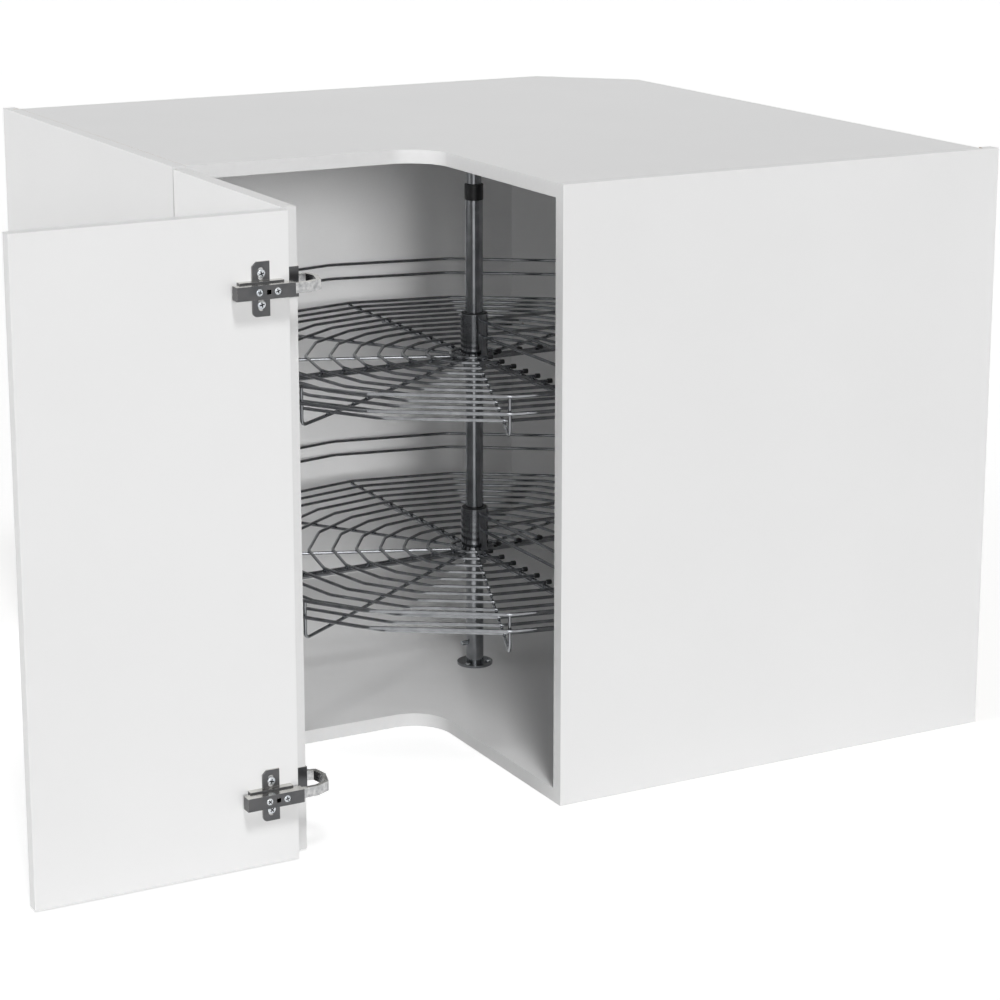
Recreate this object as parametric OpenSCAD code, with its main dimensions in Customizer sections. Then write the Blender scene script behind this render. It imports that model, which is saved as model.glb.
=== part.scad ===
// Corner carousel cabinet: an L-shaped base cabinet that fills the corner of a fitted
// kitchen. Two round wire shelves, each with one quarter left out, turn on a pole, and a
// door of two hinged leaves closes the L-shaped front.
//
// The origin lies on the pole's axis at the underside of the bottom panel. +X runs along
// the back wall towards the room's corner, +Y towards the back wall and +Z up. The cabinet
// is symmetric about the line x = y, apart from its door. Everything is drawn with the
// door swung open by door_open and both shelves turned a quarter turn from home.

/* [Cabinet] */
// Length along each wall, from the room's corner to a side panel's outer face
cabinet_w = 900; // [880:10:1000]
// Height of the side panels
cabinet_h = 704; // [640:32:800]
// Depth of a side panel, from the wall to its front edge
side_depth = 582; // [560:2:600]
// Thickness of the white panels
panel_t = 16; // [15:1:19]
// Gap between each wall and the back edges of the top and bottom panels
wall_gap = 20; // [12:1:30]
// Distance from the pole's axis to each wall
pole_to_wall = 454; // [446:1:464]
// Radius of the inner corner of the L
front_corner_r = 50; // [20:5:80]
// Length that the slanted corner panel's inner face takes off each back edge
corner_leg = 144; // [120:4:180]
// Strip of the top and bottom panels behind the corner panel
corner_strip = 12; // [6:1:20]

/* [Back panels] */
// Thickness of the thin back panels
back_t = 3; // [2.5:0.5:4]
// Depth of the side panels' grooves that hold them
groove_depth = 8; // [5:1:9]
// Gap between the back panels' ends and the cabinet's top and underside
back_end_gap = 1; // [0.5:0.5:4]
// Diameter of the back panels' screws
back_screw_d = 3; // [2.5:0.5:4]
// Length of those screws under the head
back_screw_l = 16; // [12:1:20]
// Spacing of those screws along an edge
back_screw_pitch = 180; // [120:10:220]

/* [Joinery] */
// Diameter of the wooden dowels
dowel_d = 8; // [6:1:8]
// Length of the dowels
dowel_l = 30; // [25:1:34]
// Depth to which a dowel sits in a side panel
dowel_seat = 10; // [8:1:11]
// Dowels from the front and back ends of a joint
dowel_from_end = 92; // [80:2:120]
// Cam fittings from the front and back ends of a joint
cam_from_end = 60; // [40:2:72]
// Diameter of a cam drum
cam_d = 15; // [12:1:15]
// Height of a cam drum
cam_h = 12; // [11:0.5:12.5]
// Distance from the panel's edge to the cam drum's axis
cam_inset = 34; // [24:1:40]
// Diameter of a cam bolt's shank
cam_bolt_d = 5; // [4:0.5:6]

/* [Pole] */
// Outer diameter of the lower tube, on which the shelves turn
pole_d = 22; // [20:1:25]
// Outer diameter of the upper tube, which telescopes into the lower one
upper_pole_d = 18.6; // [16:0.2:18.8]
// Wall of both tubes
tube_wall = 1.5; // [1:0.1:1.6]
// Distance from the top panel down to the lower tube's upper end
split_drop = 63; // [45:1:80]
// Length of the upper tube inside the lower one
tube_overlap = 65; // [40:5:90]
// Diameter of the two end flanges
flange_d = 45; // [42:1:60]
// Thickness of the end flanges
flange_t = 3; // [2:0.5:4]
// Length of a flange's spigot inside its tube
spigot_l = 35; // [32:1:40]
// Outer diameter of the black collar where the tubes meet
collar_d = 23.2; // [23:0.1:28]
// Length of the collar
collar_l = 20; // [14:1:30]
// Height of the lock screw's axis above the bottom panel
lock_screw_h = 29; // [22:1:32]
// Outer diameter of the ring that carries a shelf
carrier_d = 30; // [28:1:34]
// Height of that ring
carrier_h = 9; // [7:1:14]

/* [Shelves] */
// Height of the lower shelf's floor wires above the cabinet's underside
lower_shelf_z = 172; // [150:1:200]
// Height from the lower shelf to the upper one
shelf_pitch = 250; // [220:5:280]
// Gap between a turning shelf and the cabinet
shelf_clear = 6; // [4:1:12]
// Spacing of the floor wires' rings
ring_pitch = 30; // [25:1:40]
// Least distance from the last ring to the rails
ring_margin = 50; // [35:1:60]
// Diameter of the floor wires
ring_wire_d = 4; // [3:0.1:4.5]
// Diameter of the spokes, posts and rails
spoke_d = 4; // [3.5:0.1:5]
// Diameter of the four arms under the floor wires
arm_d = 8; // [6:0.5:10]
// Length of the thick part of an arm, from the pole's axis
arm_reach = 255; // [220:5:300]
// Height of the top rail above the floor wires
top_rail_h = 42; // [36:1:60]
// Height of the low rail above the floor wires
low_rail_h = 22.5; // [16:0.5:28]
// Length by which the floor wires pass the edge of the open quarter
wire_overshoot = 7.5; // [6:0.5:10]
// Distance by which the rails' returns pass the edge of the open quarter
return_offset = 5; // [4:0.5:7]
// Bend radius of the rails at the open quarter's corners
rail_corner_r = 13; // [8:1:20]
// Outer diameter of the hub's sleeve
hub_d = 34; // [34:1:40]
// Wall of the hub's sleeve
hub_wall = 2; // [1.5:0.5:2.5]
// Length of the hub's sleeve
hub_l = 62; // [56:1:80]
// Length of the sleeve below the floor wires
hub_drop = 11; // [10:1:16]
// Length of a plastic bush inside the sleeve
bush_l = 12; // [8:1:20]

/* [Door] */
// Angle by which the door is drawn open
door_open = 90; // [55:5:165]
// Thickness of the door leaves
leaf_t = 16; // [16:1:19]
// Gap between the closed leaves and the cabinet's front edges
door_gap = 2; // [2:0.5:3]
// Gap between the leaves' upper and lower ends and those of the cabinet
leaf_end_gap = 2; // [1:0.5:4]
// Gap from a leaf's outer edge to the outer face of its side panel
leaf_side_gap = 2; // [1:0.5:3]
// Gap at the fold between leaf 1's end and leaf 2's outer face
fold_gap = 4; // [3:0.5:5]

/* [Hinges] */
// Distance from the cabinet's underside and top to the nearer hinges
hinge_end = 80; // [60:5:120]
// Distance from a leaf's edge to a hinge cup's axis
cup_inset = 21.5; // [20.5:0.5:24]
// Diameter of a hinge cup
cup_d = 35; // [35:0.5:36]
// Depth of a hinge cup in its leaf
cup_depth = 11.5; // [10.5:0.5:12.5]
// Thickness of a cup's wall
cup_wall = 1.2; // [0.8:0.1:1.5]
// Height of a mounting plate's wings
plate_h = 57; // [54:1:64]
// Distance from the panel's edge to a mounting plate's screws
plate_screw_in = 32; // [30:1:37]
// Distance between a mounting plate's screws
plate_screw_gap = 32; // [30:1:34]
// Height of a mounting plate's ridge above the panel
ridge_h = 8; // [7:0.5:9]
// Length of a hinge arm
arm_l = 64.5; // [60:0.5:70]
// Width of a hinge arm
arm_w = 14.5; // [14:0.5:16]
// Height of a hinge arm above its ridge
arm_h = 12; // [11:0.5:13]
// Thickness of the pressed hinge parts
sheet_t = 1.5; // [1.2:0.1:1.8]
// Diameter of a hinge pin
pin_d = 3; // [2.5:0.1:3.5]
// Thickness of a hinge link
link_t = 5; // [4:0.1:5]

/* [Hidden] */

$fn = 48;

// Clearances and cutter allowances
cut = 1;
bore_play = 0.1;
slide_play = 0.2;
turn_play = 0.05;
running_gap = 0.1;

// The cabinet's planes, shared by both walls
side_outer = pole_to_wall - cabinet_w;
side_inner = side_outer + panel_t;
front = pole_to_wall - side_depth;
back = pole_to_wall - wall_gap;
inside_bottom = panel_t;
inside_top = cabinet_h - panel_t;
outer_leg = corner_leg - panel_t * sqrt(2);
chamfer_leg = outer_leg - corner_strip * sqrt(2);

// Side joints, measured along the joint
cam_places = [front + cam_from_end, back - cam_from_end];
dowel_places = [front + dowel_from_end, (front + back) / 2, back - dowel_from_end];
bottom_level = panel_t / 2;
top_level = cabinet_h - panel_t / 2;
cam_bolt_seat = 10;
cam_head_d = cam_bolt_d + 1.4;
cam_head_l = 3;
cam_channel_d = cam_head_d + 0.4;
cam_pocket_depth = cam_h + 0.5;
// The corner panel's dowels, measured along the panel from its middle
corner_dowels = [-corner_leg / 3, corner_leg / 3];
corner_middle = back - (corner_leg + outer_leg) / 4;
// Length of a corner dowel inside the corner panel, with room at its end
corner_dowel_rest = dowel_l - dowel_seat + cut;

// Screws of the thin back panels
back_head_d = 2 * back_screw_d;
back_head_h = 1.2;
back_screw_inset = 40;
back_screw_margin = 20;
back_screw_first = side_inner + back_screw_inset;
back_screw_last = back - corner_leg - back_screw_margin;
back_screw_rows = floor((back_screw_last - back_screw_first) / back_screw_pitch) + 1;
back_screw_x = [for (i = [0:back_screw_rows - 1]) back_screw_first + i * back_screw_pitch];
corner_screw_inset = 60;
corner_screw_z = [inside_bottom + corner_screw_inset, cabinet_h / 2,
    inside_top - corner_screw_inset];
corner_screw_x = back - (corner_leg + outer_leg) / 2;

// Pole
tube_bore = pole_d - 2 * tube_wall;
upper_bore = upper_pole_d - 2 * tube_wall;
split_z = inside_top - split_drop;
collar_lip = collar_l / 2;
flange_screw_d = 4;
flange_screw_l = 13;
flange_head_d = 6.5;
flange_head_h = 2;
flange_screw_r = (pole_d + flange_d) / 4;
lock_screw_d = 5;
lock_head_d = 6;
lock_head_l = 8;
lock_bite = 2;
carrier_screw_d = 5;
carrier_screw_proud = 1;

// Shelves: the rails' polygon has sixteen corners in a full turn
upper_shelf_z = lower_shelf_z + shelf_pitch;
polygon_step = 360 / 16;
covered = 270;
rail_r = min(back, -side_inner) - shelf_clear - spoke_d / 2;
ring_count = floor((rail_r - ring_margin) / ring_pitch);
last_ring_r = ring_count * ring_pitch;
ring_bend_r = 20;
rail_bend_r = 40;
rail_corner_steps = 5;
// Distance from the axis to the short flats that round off the polygon's corners
rail_flat_r = rail_r - rail_bend_r * tan(polygon_step / 2) * sin(polygon_step / 2);
// Distance from the axis to a post that stands inside the bend at the quarter's corner
rail_bend_x = rail_r + return_offset * tan(polygon_step / 2)
    - rail_corner_r / tan(45 - polygon_step / 4);
corner_post_r = rail_bend_x + sqrt(max(0, pow(rail_corner_r - spoke_d, 2)
    - pow(rail_corner_r - return_offset, 2)));
ring_sides = 6;
rail_sides = 8;
spoke_angles = [22.5, 62.5, 124, 157.5, 214, 247.5];
spoke_z = -(ring_wire_d + spoke_d) / 2;
arm_z = -(ring_wire_d + arm_d) / 2;
// The thin rod that goes on from each arm's end, set a little below the spokes
rod_z = spoke_z - slide_play;
rod_hold = 10;
rod_start = arm_reach - rod_hold;
elbow_r = 8;
cap_wall = 1;
cap_gap = 3.2;
cap_l = 6;
hub_r = hub_d / 2;
bush_lip = 1;
// The lower face of each carrier ring
carrier_levels = [for (z = [lower_shelf_z, upper_shelf_z])
    z - hub_drop - bush_lip - running_gap - carrier_h];

// Door: the closed leaves, the swing's axis and the fold's axis
leaf_inner = front - door_gap;
leaf_outer = leaf_inner - leaf_t;
leaf_edge = side_outer + leaf_side_gap;
leaf_1_end = leaf_outer - fold_gap;
leaf_2_end_gap = 2;
leaf_2_edge_gap = 1;
leaf_2_end = leaf_outer - leaf_2_end_gap;
leaf_2_edge = leaf_edge + leaf_2_edge_gap;
leaf_bottom = leaf_end_gap;
leaf_h = cabinet_h - 2 * leaf_end_gap;
swing_in = 5;
swing_x = leaf_edge + swing_in;
swing_y = leaf_inner - leaf_t / 2;
fold_axis_out = 2;
fold_axis_past = 1;

// Hinges: x runs in from the panel's edge, y out of its face and z up
hinge_levels = [hinge_end, cabinet_h - hinge_end];
ridge_start = 9;
ridge_l = 49;
ridge_w = 18;
wing_t = 2;
wing_w = 19.3;
wing_corner = 5;
slot_w = 6.5;
slot_l = 13;
plate_screw_d = 5;
plate_screw_l = 12;
plate_head_d = 9;
plate_head_h = 2;
arm_start = 1.5;
arm_top = ridge_h + arm_h;
arm_inside = arm_w - 2 * sheet_t;
cam_screw_x = [21, 41];
cam_screw_d = 5;
cam_screw_head_d = 8;
cam_screw_seat = 4;
arm_window = 5;
arm_window_x = 31;
pin_x = 4;
pin_y = ridge_h + 3;
link_side_gap = 0.25;
link_w = arm_inside - 2 * link_side_gap;
link_eye_d = link_t + 1;
flange_plate_t = 1.2;
cup_flange_d = cup_d + 3;
cup_screw_out = 9.5;
cup_screw_gap = 45;
cup_screw_d = 3.5;
cup_screw_l = 12;
cup_head_d = 7;
cup_head_h = 1.5;
cup_wing_w = 13;
cup_wing_h = 56;
tab_h = 32;
tab_t = 1;
ear_l = 20;
ear_t = 1.2;
ear_gap = 0.3;

// Centre lines of the links, from the pin to the end in the cup. The side link's is drawn
// with the door open, from the hinge's own corner, and the fold link's with the leaves
// square to each other, from the fold's axis.
side_link_path = [[pin_y, pin_x], [15.5, -10.5], [17, -30.2], [-2.4, -26.2]];
fold_link_path = [[leaf_t + fold_axis_out + pin_y, -pin_x - fold_axis_past], [29, 16], [22, 30], [2, 36],
    [-14, 33], [-19, 13]];

// ---------------------------------------------------------------- helpers

// Draws its children on both walls, which mirror each other about x = y
module on_both_walls() {
    children();
    mirror([1, -1, 0]) children();
}

// A cylinder along +X that starts at the origin
module bar_x(d, l) {
    rotate([0, 90, 0]) cylinder(d = d, h = l);
}

// A cylinder along +Y that starts at the origin
module bar_y(d, l) {
    rotate([-90, 0, 0]) cylinder(d = d, h = l);
}

// A tube that stands on the origin
module tube(d, bore, l) {
    difference() {
        cylinder(d = d, h = l);
        translate([0, 0, -cut]) cylinder(d = bore, h = l + 2 * cut);
    }
}

// A row of places on the left side joint at one level, with x out of the side panel
module at_joint(places, level) {
    for (place = places) translate([side_inner, place, level]) children();
}

// Both hinge heights
module at_hinges() {
    for (level = hinge_levels) translate([0, 0, level]) children();
}

// ---------------------------------------------------------------- bent wires

function unit(v) = v / norm(v);
function flat(p) = [p[0], p[1]];
function turned(v, angle) =
    [v[0] * cos(angle) - v[1] * sin(angle), v[0] * sin(angle) + v[1] * cos(angle)];

// Points of the bend at b between a and c, with its radius in b[2] and its steps in b[3]
function bend(a, b, c) =
    let (u = unit(flat(a) - flat(b)),
        v = unit(flat(c) - flat(b)),
        half = acos(u * v) / 2,
        centre = flat(b) + unit(u + v) * b[2] / sin(half),
        start = flat(b) + u * b[2] / tan(half) - centre,
        side = u[0] * v[1] - u[1] * v[0] > 0 ? -1 : 1,
        sweep = side * (180 - 2 * half))
    [for (i = [0:b[3]]) centre + turned(start, sweep * i / b[3])];

// A path through points of [x, y, bend radius, steps], whose ends are left sharp
function bent(points) =
    [for (i = [0:len(points) - 1])
        each i == 0 || i == len(points) - 1 ? [flat(points[i])]
            : bend(points[i - 1], points[i], points[i + 1])];

// A wire of round section along a level path
module wire(path, d, sides) {
    count = len(path);
    sections = [for (i = [0:count - 1])
        let (before = unit(path[max(i, 1)] - path[max(i, 1) - 1]),
            after = unit(path[min(i + 1, count - 1)] - path[min(i + 1, count - 1) - 1]),
            along = unit(before + after),
            out = turned(along, 90) / (along * before))
        [for (k = [0:sides - 1])
            let (a = 90 + 360 * k / sides)
            [path[i][0] + out[0] * cos(a) * d / 2,
                path[i][1] + out[1] * cos(a) * d / 2,
                sin(a) * d / 2]]];
    points = [for (section = sections) each section];
    skin = [for (i = [0:count - 2]) for (k = [0:sides - 1])
        let (a = i * sides + k, b = i * sides + (k + 1) % sides)
        each [[a, b, a + sides], [b, b + sides, a + sides]]];
    end = (count - 1) * sides;
    caps = [for (k = [1:sides - 2])
        each [[0, k + 1, k], [end, end + k, end + k + 1]]];
    polyhedron(points, concat(skin, caps));
}

// Corner number i of a sixteen-sided polygon, with the radius and steps of its bend
function corner(r, i, bend_r, steps) =
    [r * cos(i * polygon_step), r * sin(i * polygon_step), bend_r, steps];

// Where a wire that runs on past the quarter's edge at 0 degrees ends
function passed(r, past) = [r + past * tan(polygon_step / 2), -past];
// The same at the quarter's other edge, at 270 degrees
function mirrored_edge(p) = [-p[1], -p[0], p[2], p[3]];

// One floor wire, from past one edge of the open quarter to past the other
function ring_path(r) =
    let (start = passed(r, wire_overshoot))
    bent(concat([start],
        [for (i = [1:covered / polygon_step - 1]) corner(r, i, ring_bend_r, 1)],
        [mirrored_edge(start)]));

// A rail: out of the hub, along the quarter's edge, round the shelf and back to the hub
rail_start = sqrt(pow(hub_r, 2) - pow(return_offset - spoke_d / 2, 2));
rail_turn = concat(passed(rail_r, return_offset), [rail_corner_r, rail_corner_steps]);
rail_path = bent(concat([[rail_start, -return_offset]], [rail_turn],
    [for (i = [1:covered / polygon_step - 1]) corner(rail_r, i, rail_bend_r, 1)],
    [mirrored_edge(rail_turn)], [[return_offset, -rail_start]]));

// Distance from the axis to the rails' centre line in one direction
function rail_side_r(angle) =
    min(rail_flat_r, rail_r * cos(polygon_step / 2) / cos(angle % polygon_step - polygon_step / 2));

// ---------------------------------------------------------------- carcass

// The L-shaped outline of the top and bottom panels
module l_outline() {
    difference() {
        translate([side_inner, side_inner]) square(back - side_inner);
        translate([side_inner - cut, side_inner - cut])
            square([front - side_inner + cut, front - front_corner_r - side_inner + cut]);
        translate([side_inner - cut, side_inner - cut])
            square([front - front_corner_r - side_inner + cut, front - side_inner + cut]);
        translate([front - front_corner_r, front - front_corner_r]) circle(r = front_corner_r);
        polygon([[back - chamfer_leg, back], [back + cut, back + cut], [back, back - chamfer_leg]]);
    }
}

// A top or bottom panel with the bores of its joints, whose lower face is at z
module l_panel(z, corner_face_z, flange_face_z) {
    level = z + panel_t / 2;
    difference() {
        translate([0, 0, z]) linear_extrude(panel_t) l_outline();
        on_both_walls() {
            at_joint(dowel_places, level)
                translate([-cut, 0, 0])
                    bar_x(dowel_d + bore_play, dowel_l - dowel_seat + 2 * cut);
            at_joint(cam_places, level) {
                translate([-cut, 0, 0]) bar_x(dowel_d, cam_inset + cut);
                translate([cam_inset, 0, -panel_t / 2 - cut])
                    cylinder(d = cam_d, h = cam_pocket_depth + cut);
            }
            for (x = back_screw_x)
                translate([x, back - back_screw_l, level])
                    bar_y(back_screw_d + bore_play, back_screw_l + cut);
        }
        at_corner_dowels(corner_face_z)
            translate([0, 0, -dowel_seat - cut])
                cylinder(d = dowel_d + bore_play, h = 2 * (dowel_seat + cut));
        at_flange_screws()
            translate([0, 0, flange_face_z - flange_screw_l])
                cylinder(d = flange_screw_d + bore_play, h = 2 * flange_screw_l);
    }
}

module bottom_panel() {
    color("white") l_panel(0, inside_bottom, inside_bottom);
}

module top_panel() {
    color("white") l_panel(inside_top, inside_top, inside_top);
}

// A side panel on the left, with the groove for the back panel and the joints' bores
module side_panel() {
    difference() {
        translate([side_outer, front, 0]) cube([panel_t, side_depth, cabinet_h]);
        translate([side_inner - groove_depth - slide_play, back, -cut])
            cube([groove_depth + slide_play + cut, back_t + slide_play, cabinet_h + 2 * cut]);
        for (level = [bottom_level, top_level]) {
            at_joint(dowel_places, level)
                translate([-dowel_seat - slide_play, 0, 0])
                    bar_x(dowel_d + bore_play, dowel_seat + slide_play + cut);
            at_joint(cam_places, level)
                translate([-cam_bolt_seat - slide_play, 0, 0])
                    bar_x(cam_bolt_d + bore_play, cam_bolt_seat + slide_play + cut);
        }
    }
}

module left_side_panel() {
    color("white") difference() {
        side_panel();
        at_side_hinges() plate_screw_bores();
    }
}

module right_side_panel() {
    color("white") mirror([1, -1, 0]) side_panel();
}

// A thin back panel on the back wall, held by a groove, the panels' edges and screws
module thin_back() {
    difference() {
        translate([side_inner - groove_depth, back, back_end_gap])
            cube([back - chamfer_leg - side_inner + groove_depth, back_t,
                cabinet_h - 2 * back_end_gap]);
        at_back_screws()
            translate([0, -cut, 0]) bar_y(back_screw_d + bore_play, back_t + 2 * cut);
    }
}

module left_back_panel() {
    color("whitesmoke") thin_back();
}

module right_back_panel() {
    color("whitesmoke") mirror([1, -1, 0]) thin_back();
}

module corner_back_panel() {
    color("white") difference() {
        translate([0, 0, inside_bottom])
            linear_extrude(inside_top - inside_bottom)
                polygon([[back - corner_leg, back], [back, back - corner_leg],
                    [back, back - outer_leg], [back - outer_leg, back]]);
        for (z = [inside_bottom, inside_top])
            at_corner_dowels(z)
                translate([0, 0, -corner_dowel_rest])
                    cylinder(d = dowel_d + bore_play, h = 2 * corner_dowel_rest);
        on_both_walls()
            for (z = corner_screw_z)
                translate([corner_screw_x, back - back_screw_l, z])
                    bar_y(back_screw_d + bore_play, back_screw_l + cut);
    }
}

// The two places of the corner panel's dowels on a face at z
module at_corner_dowels(z) {
    for (along = corner_dowels)
        translate([corner_middle, corner_middle, z]) rotate([0, 0, -45])
            translate([along, 0, 0]) children();
}

// Every screw of the thin back panel, at the panels' edges and at the corner panel
module at_back_screws() {
    for (level = [bottom_level, top_level]) for (x = back_screw_x)
        translate([x, back, level]) children();
    for (z = corner_screw_z)
        translate([corner_screw_x, back, z]) children();
}

module carcass_dowels() {
    color("burlywood") {
        on_both_walls()
            for (level = [bottom_level, top_level])
                at_joint(dowel_places, level)
                    translate([-dowel_seat, 0, 0]) bar_x(dowel_d, dowel_l);
        at_corner_dowels(inside_bottom)
            translate([0, 0, -dowel_seat]) cylinder(d = dowel_d, h = dowel_l);
        at_corner_dowels(inside_top)
            translate([0, 0, dowel_seat - dowel_l]) cylinder(d = dowel_d, h = dowel_l);
    }
}

module cam_bolts() {
    color("silver") on_both_walls()
        for (level = [bottom_level, top_level])
            at_joint(cam_places, level) {
                translate([-cam_bolt_seat, 0, 0])
                    bar_x(cam_bolt_d, cam_bolt_seat + cam_inset - cam_head_l);
                translate([cam_inset - 2 * cam_head_l, 0, 0]) bar_x(cam_head_d, cam_head_l);
            }
}

module cam_housings() {
    color("silver") on_both_walls()
        for (level = [bottom_level, top_level])
            at_joint(cam_places, level)
                difference() {
                    translate([cam_inset, 0, -panel_t / 2])
                        cylinder(d = cam_d - slide_play, h = cam_h);
                    bar_x(cam_channel_d, cam_inset + cam_bolt_d);
                }
}

module back_panel_screws() {
    color("gainsboro") on_both_walls() at_back_screws() {
        translate([0, back_t, 0]) bar_y(back_head_d, back_head_h);
        translate([0, back_t - back_screw_l, 0]) bar_y(back_screw_d, back_screw_l);
    }
}

// ---------------------------------------------------------------- pole

// The three screws of a pole flange
module at_flange_screws() {
    for (i = [0:2]) rotate([0, 0, 90 + 120 * i]) translate([flange_screw_r, 0, 0]) children();
}

// A flange that lies on the bottom panel, with a spigot for a tube
module pole_flange(spigot_d) {
    difference() {
        union() {
            cylinder(d = flange_d, h = flange_t);
            cylinder(d = spigot_d, h = flange_t + spigot_l);
        }
        at_flange_screws()
            translate([0, 0, -cut]) cylinder(d = flange_screw_d + bore_play, h = flange_t + 2 * cut);
    }
}

module base_flange() {
    color("silver") difference() {
        translate([0, 0, inside_bottom]) pole_flange(tube_bore - slide_play);
        translate([-pole_d, 0, inside_bottom + lock_screw_h])
            bar_x(lock_screw_d + bore_play, pole_d - tube_bore / 2 + lock_bite + slide_play);
    }
}

module top_flange() {
    color("silver") translate([0, 0, inside_top]) mirror([0, 0, 1])
        pole_flange(upper_bore - slide_play);
}

// One pan-head screw that points down, with its head's seat at z = 0
module flange_screw() {
    cylinder(d = flange_head_d, h = flange_head_h);
    translate([0, 0, -flange_screw_l]) cylinder(d = flange_screw_d, h = flange_screw_l);
}

module flange_screws() {
    color("gainsboro") {
        translate([0, 0, inside_bottom + flange_t]) at_flange_screws() flange_screw();
        translate([0, 0, inside_top - flange_t]) mirror([0, 0, 1])
            at_flange_screws() flange_screw();
    }
}

module lower_pole_tube() {
    color("silver") difference() {
        translate([0, 0, inside_bottom + flange_t])
            tube(pole_d, tube_bore, split_z - inside_bottom - flange_t);
        translate([-pole_d, 0, inside_bottom + lock_screw_h])
            bar_x(lock_screw_d + bore_play, pole_d);
    }
}

module upper_pole_tube() {
    color("silver") translate([0, 0, split_z - tube_overlap])
        tube(upper_pole_d, upper_bore, inside_top - flange_t - split_z + tube_overlap);
}

module pole_collar() {
    color("black") translate([0, 0, split_z - collar_lip])
        difference() {
            cylinder(d = collar_d, h = collar_l);
            translate([0, 0, -cut]) cylinder(d = pole_d + bore_play, h = collar_lip + cut);
            translate([0, 0, -cut]) cylinder(d = upper_pole_d + bore_play, h = collar_l + 2 * cut);
        }
}

module pole_lock_screw() {
    color("silver") translate([0, 0, inside_bottom + lock_screw_h]) {
        translate([-pole_d / 2 - lock_head_l, 0, 0]) bar_x(lock_head_d, lock_head_l);
        translate([-pole_d / 2, 0, 0]) bar_x(lock_screw_d, tube_wall + lock_bite);
    }
}

module shelf_carrier_rings() {
    color("silver") for (z = carrier_levels)
        translate([0, 0, z]) difference() {
            tube(carrier_d, pole_d + bore_play, carrier_h);
            translate([-carrier_d, 0, carrier_h / 2]) bar_x(carrier_screw_d + bore_play, carrier_d);
        }
}

module carrier_ring_screws() {
    color("gainsboro") for (z = carrier_levels)
        translate([-carrier_d / 2 - carrier_screw_proud, 0, z + carrier_h / 2])
            bar_x(carrier_screw_d, (carrier_d - pole_d - bore_play) / 2 + carrier_screw_proud);
}

// ---------------------------------------------------------------- shelves

module hub_sleeve() {
    color("silver") translate([0, 0, -hub_drop]) tube(hub_d, hub_d - 2 * hub_wall, hub_l);
}

// A plastic bush that hangs in the sleeve's upper end from a lip
module hub_bush() {
    color("black") difference() {
        union() {
            cylinder(d = hub_d - hub_wall, h = bush_lip);
            translate([0, 0, -bush_l])
                cylinder(d = hub_d - 2 * hub_wall - slide_play, h = bush_l + bush_lip);
        }
        translate([0, 0, -bush_l - cut])
            cylinder(d = pole_d + 2 * turn_play, h = bush_l + bush_lip + 2 * cut);
    }
}

module top_bush() {
    translate([0, 0, hub_l - hub_drop]) hub_bush();
}

module bottom_bush() {
    translate([0, 0, -hub_drop]) mirror([0, 0, 1]) hub_bush();
}

module floor_rings() {
    color("silver") for (i = [1:ring_count])
        wire(ring_path(i * ring_pitch), ring_wire_d, ring_sides);
}

// A wire at height z from start out to r, then up to the top rail
module spoke_with_post(z, start, r) {
    translate([start, 0, z]) bar_x(spoke_d, r - elbow_r - start);
    translate([r - elbow_r, 0, z + elbow_r]) rotate([90, 0, 0]) rotate([0, 0, -90])
        rotate_extrude(angle = 90) translate([elbow_r, 0]) circle(d = spoke_d);
    translate([r, 0, z + elbow_r]) cylinder(d = spoke_d, h = top_rail_h - z - elbow_r);
}

// Takes the hub's place out of a wire that starts inside it
module outside_hub() {
    difference() {
        children();
        translate([0, 0, -hub_drop]) cylinder(d = hub_d, h = hub_l);
    }
}

module floor_arms() {
    color("silver") for (angle = [0:90:covered]) rotate([0, 0, angle]) outside_hub() {
        translate([hub_r / 2, 0, arm_z]) bar_x(arm_d, arm_reach - hub_r / 2);
        if (angle == 0 || angle == covered) spoke_with_post(rod_z, rod_start, corner_post_r);
        else translate([rod_start, 0, rod_z])
            bar_x(spoke_d, last_ring_r + ring_wire_d / 2 - rod_start);
    }
}

module spokes() {
    color("silver") for (angle = spoke_angles)
        rotate([0, 0, angle]) outside_hub()
            spoke_with_post(spoke_z, hub_r / 2, rail_side_r(angle) - spoke_d);
}

module top_rail() {
    color("silver") translate([0, 0, top_rail_h]) wire(rail_path, spoke_d, rail_sides);
}

module low_rail() {
    color("silver") translate([0, 0, low_rail_h]) wire(rail_path, spoke_d, rail_sides);
}

// A black cap on each end of each floor wire
module wire_caps() {
    color("black") for (i = [1:ring_count]) {
        ring_end_cap(i * ring_pitch);
        mirror([1, 1, 0]) ring_end_cap(i * ring_pitch);
    }
}

module ring_end_cap(r) {
    translate([r, 0, 0]) rotate([0, 0, polygon_step / 2 - 90]) translate([cap_gap, 0, 0])
        difference() {
            bar_x(ring_wire_d + 2 * cap_wall, cap_l);
            translate([-cut, 0, 0])
                bar_x(ring_wire_d + bore_play,
                    wire_overshoot / cos(polygon_step / 2) - cap_gap + bore_play + cut);
        }
}

module lower_shelf_hub_sleeve() { translate([0, 0, lower_shelf_z]) hub_sleeve(); }
module lower_shelf_top_bush() { translate([0, 0, lower_shelf_z]) top_bush(); }
module lower_shelf_bottom_bush() { translate([0, 0, lower_shelf_z]) bottom_bush(); }
module lower_shelf_floor_rings() { translate([0, 0, lower_shelf_z]) floor_rings(); }
module lower_shelf_arms() { translate([0, 0, lower_shelf_z]) floor_arms(); }
module lower_shelf_spokes() { translate([0, 0, lower_shelf_z]) spokes(); }
module lower_shelf_top_rail() { translate([0, 0, lower_shelf_z]) top_rail(); }
module lower_shelf_low_rail() { translate([0, 0, lower_shelf_z]) low_rail(); }
module lower_shelf_wire_caps() { translate([0, 0, lower_shelf_z]) wire_caps(); }
module upper_shelf_hub_sleeve() { translate([0, 0, upper_shelf_z]) hub_sleeve(); }
module upper_shelf_top_bush() { translate([0, 0, upper_shelf_z]) top_bush(); }
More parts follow.
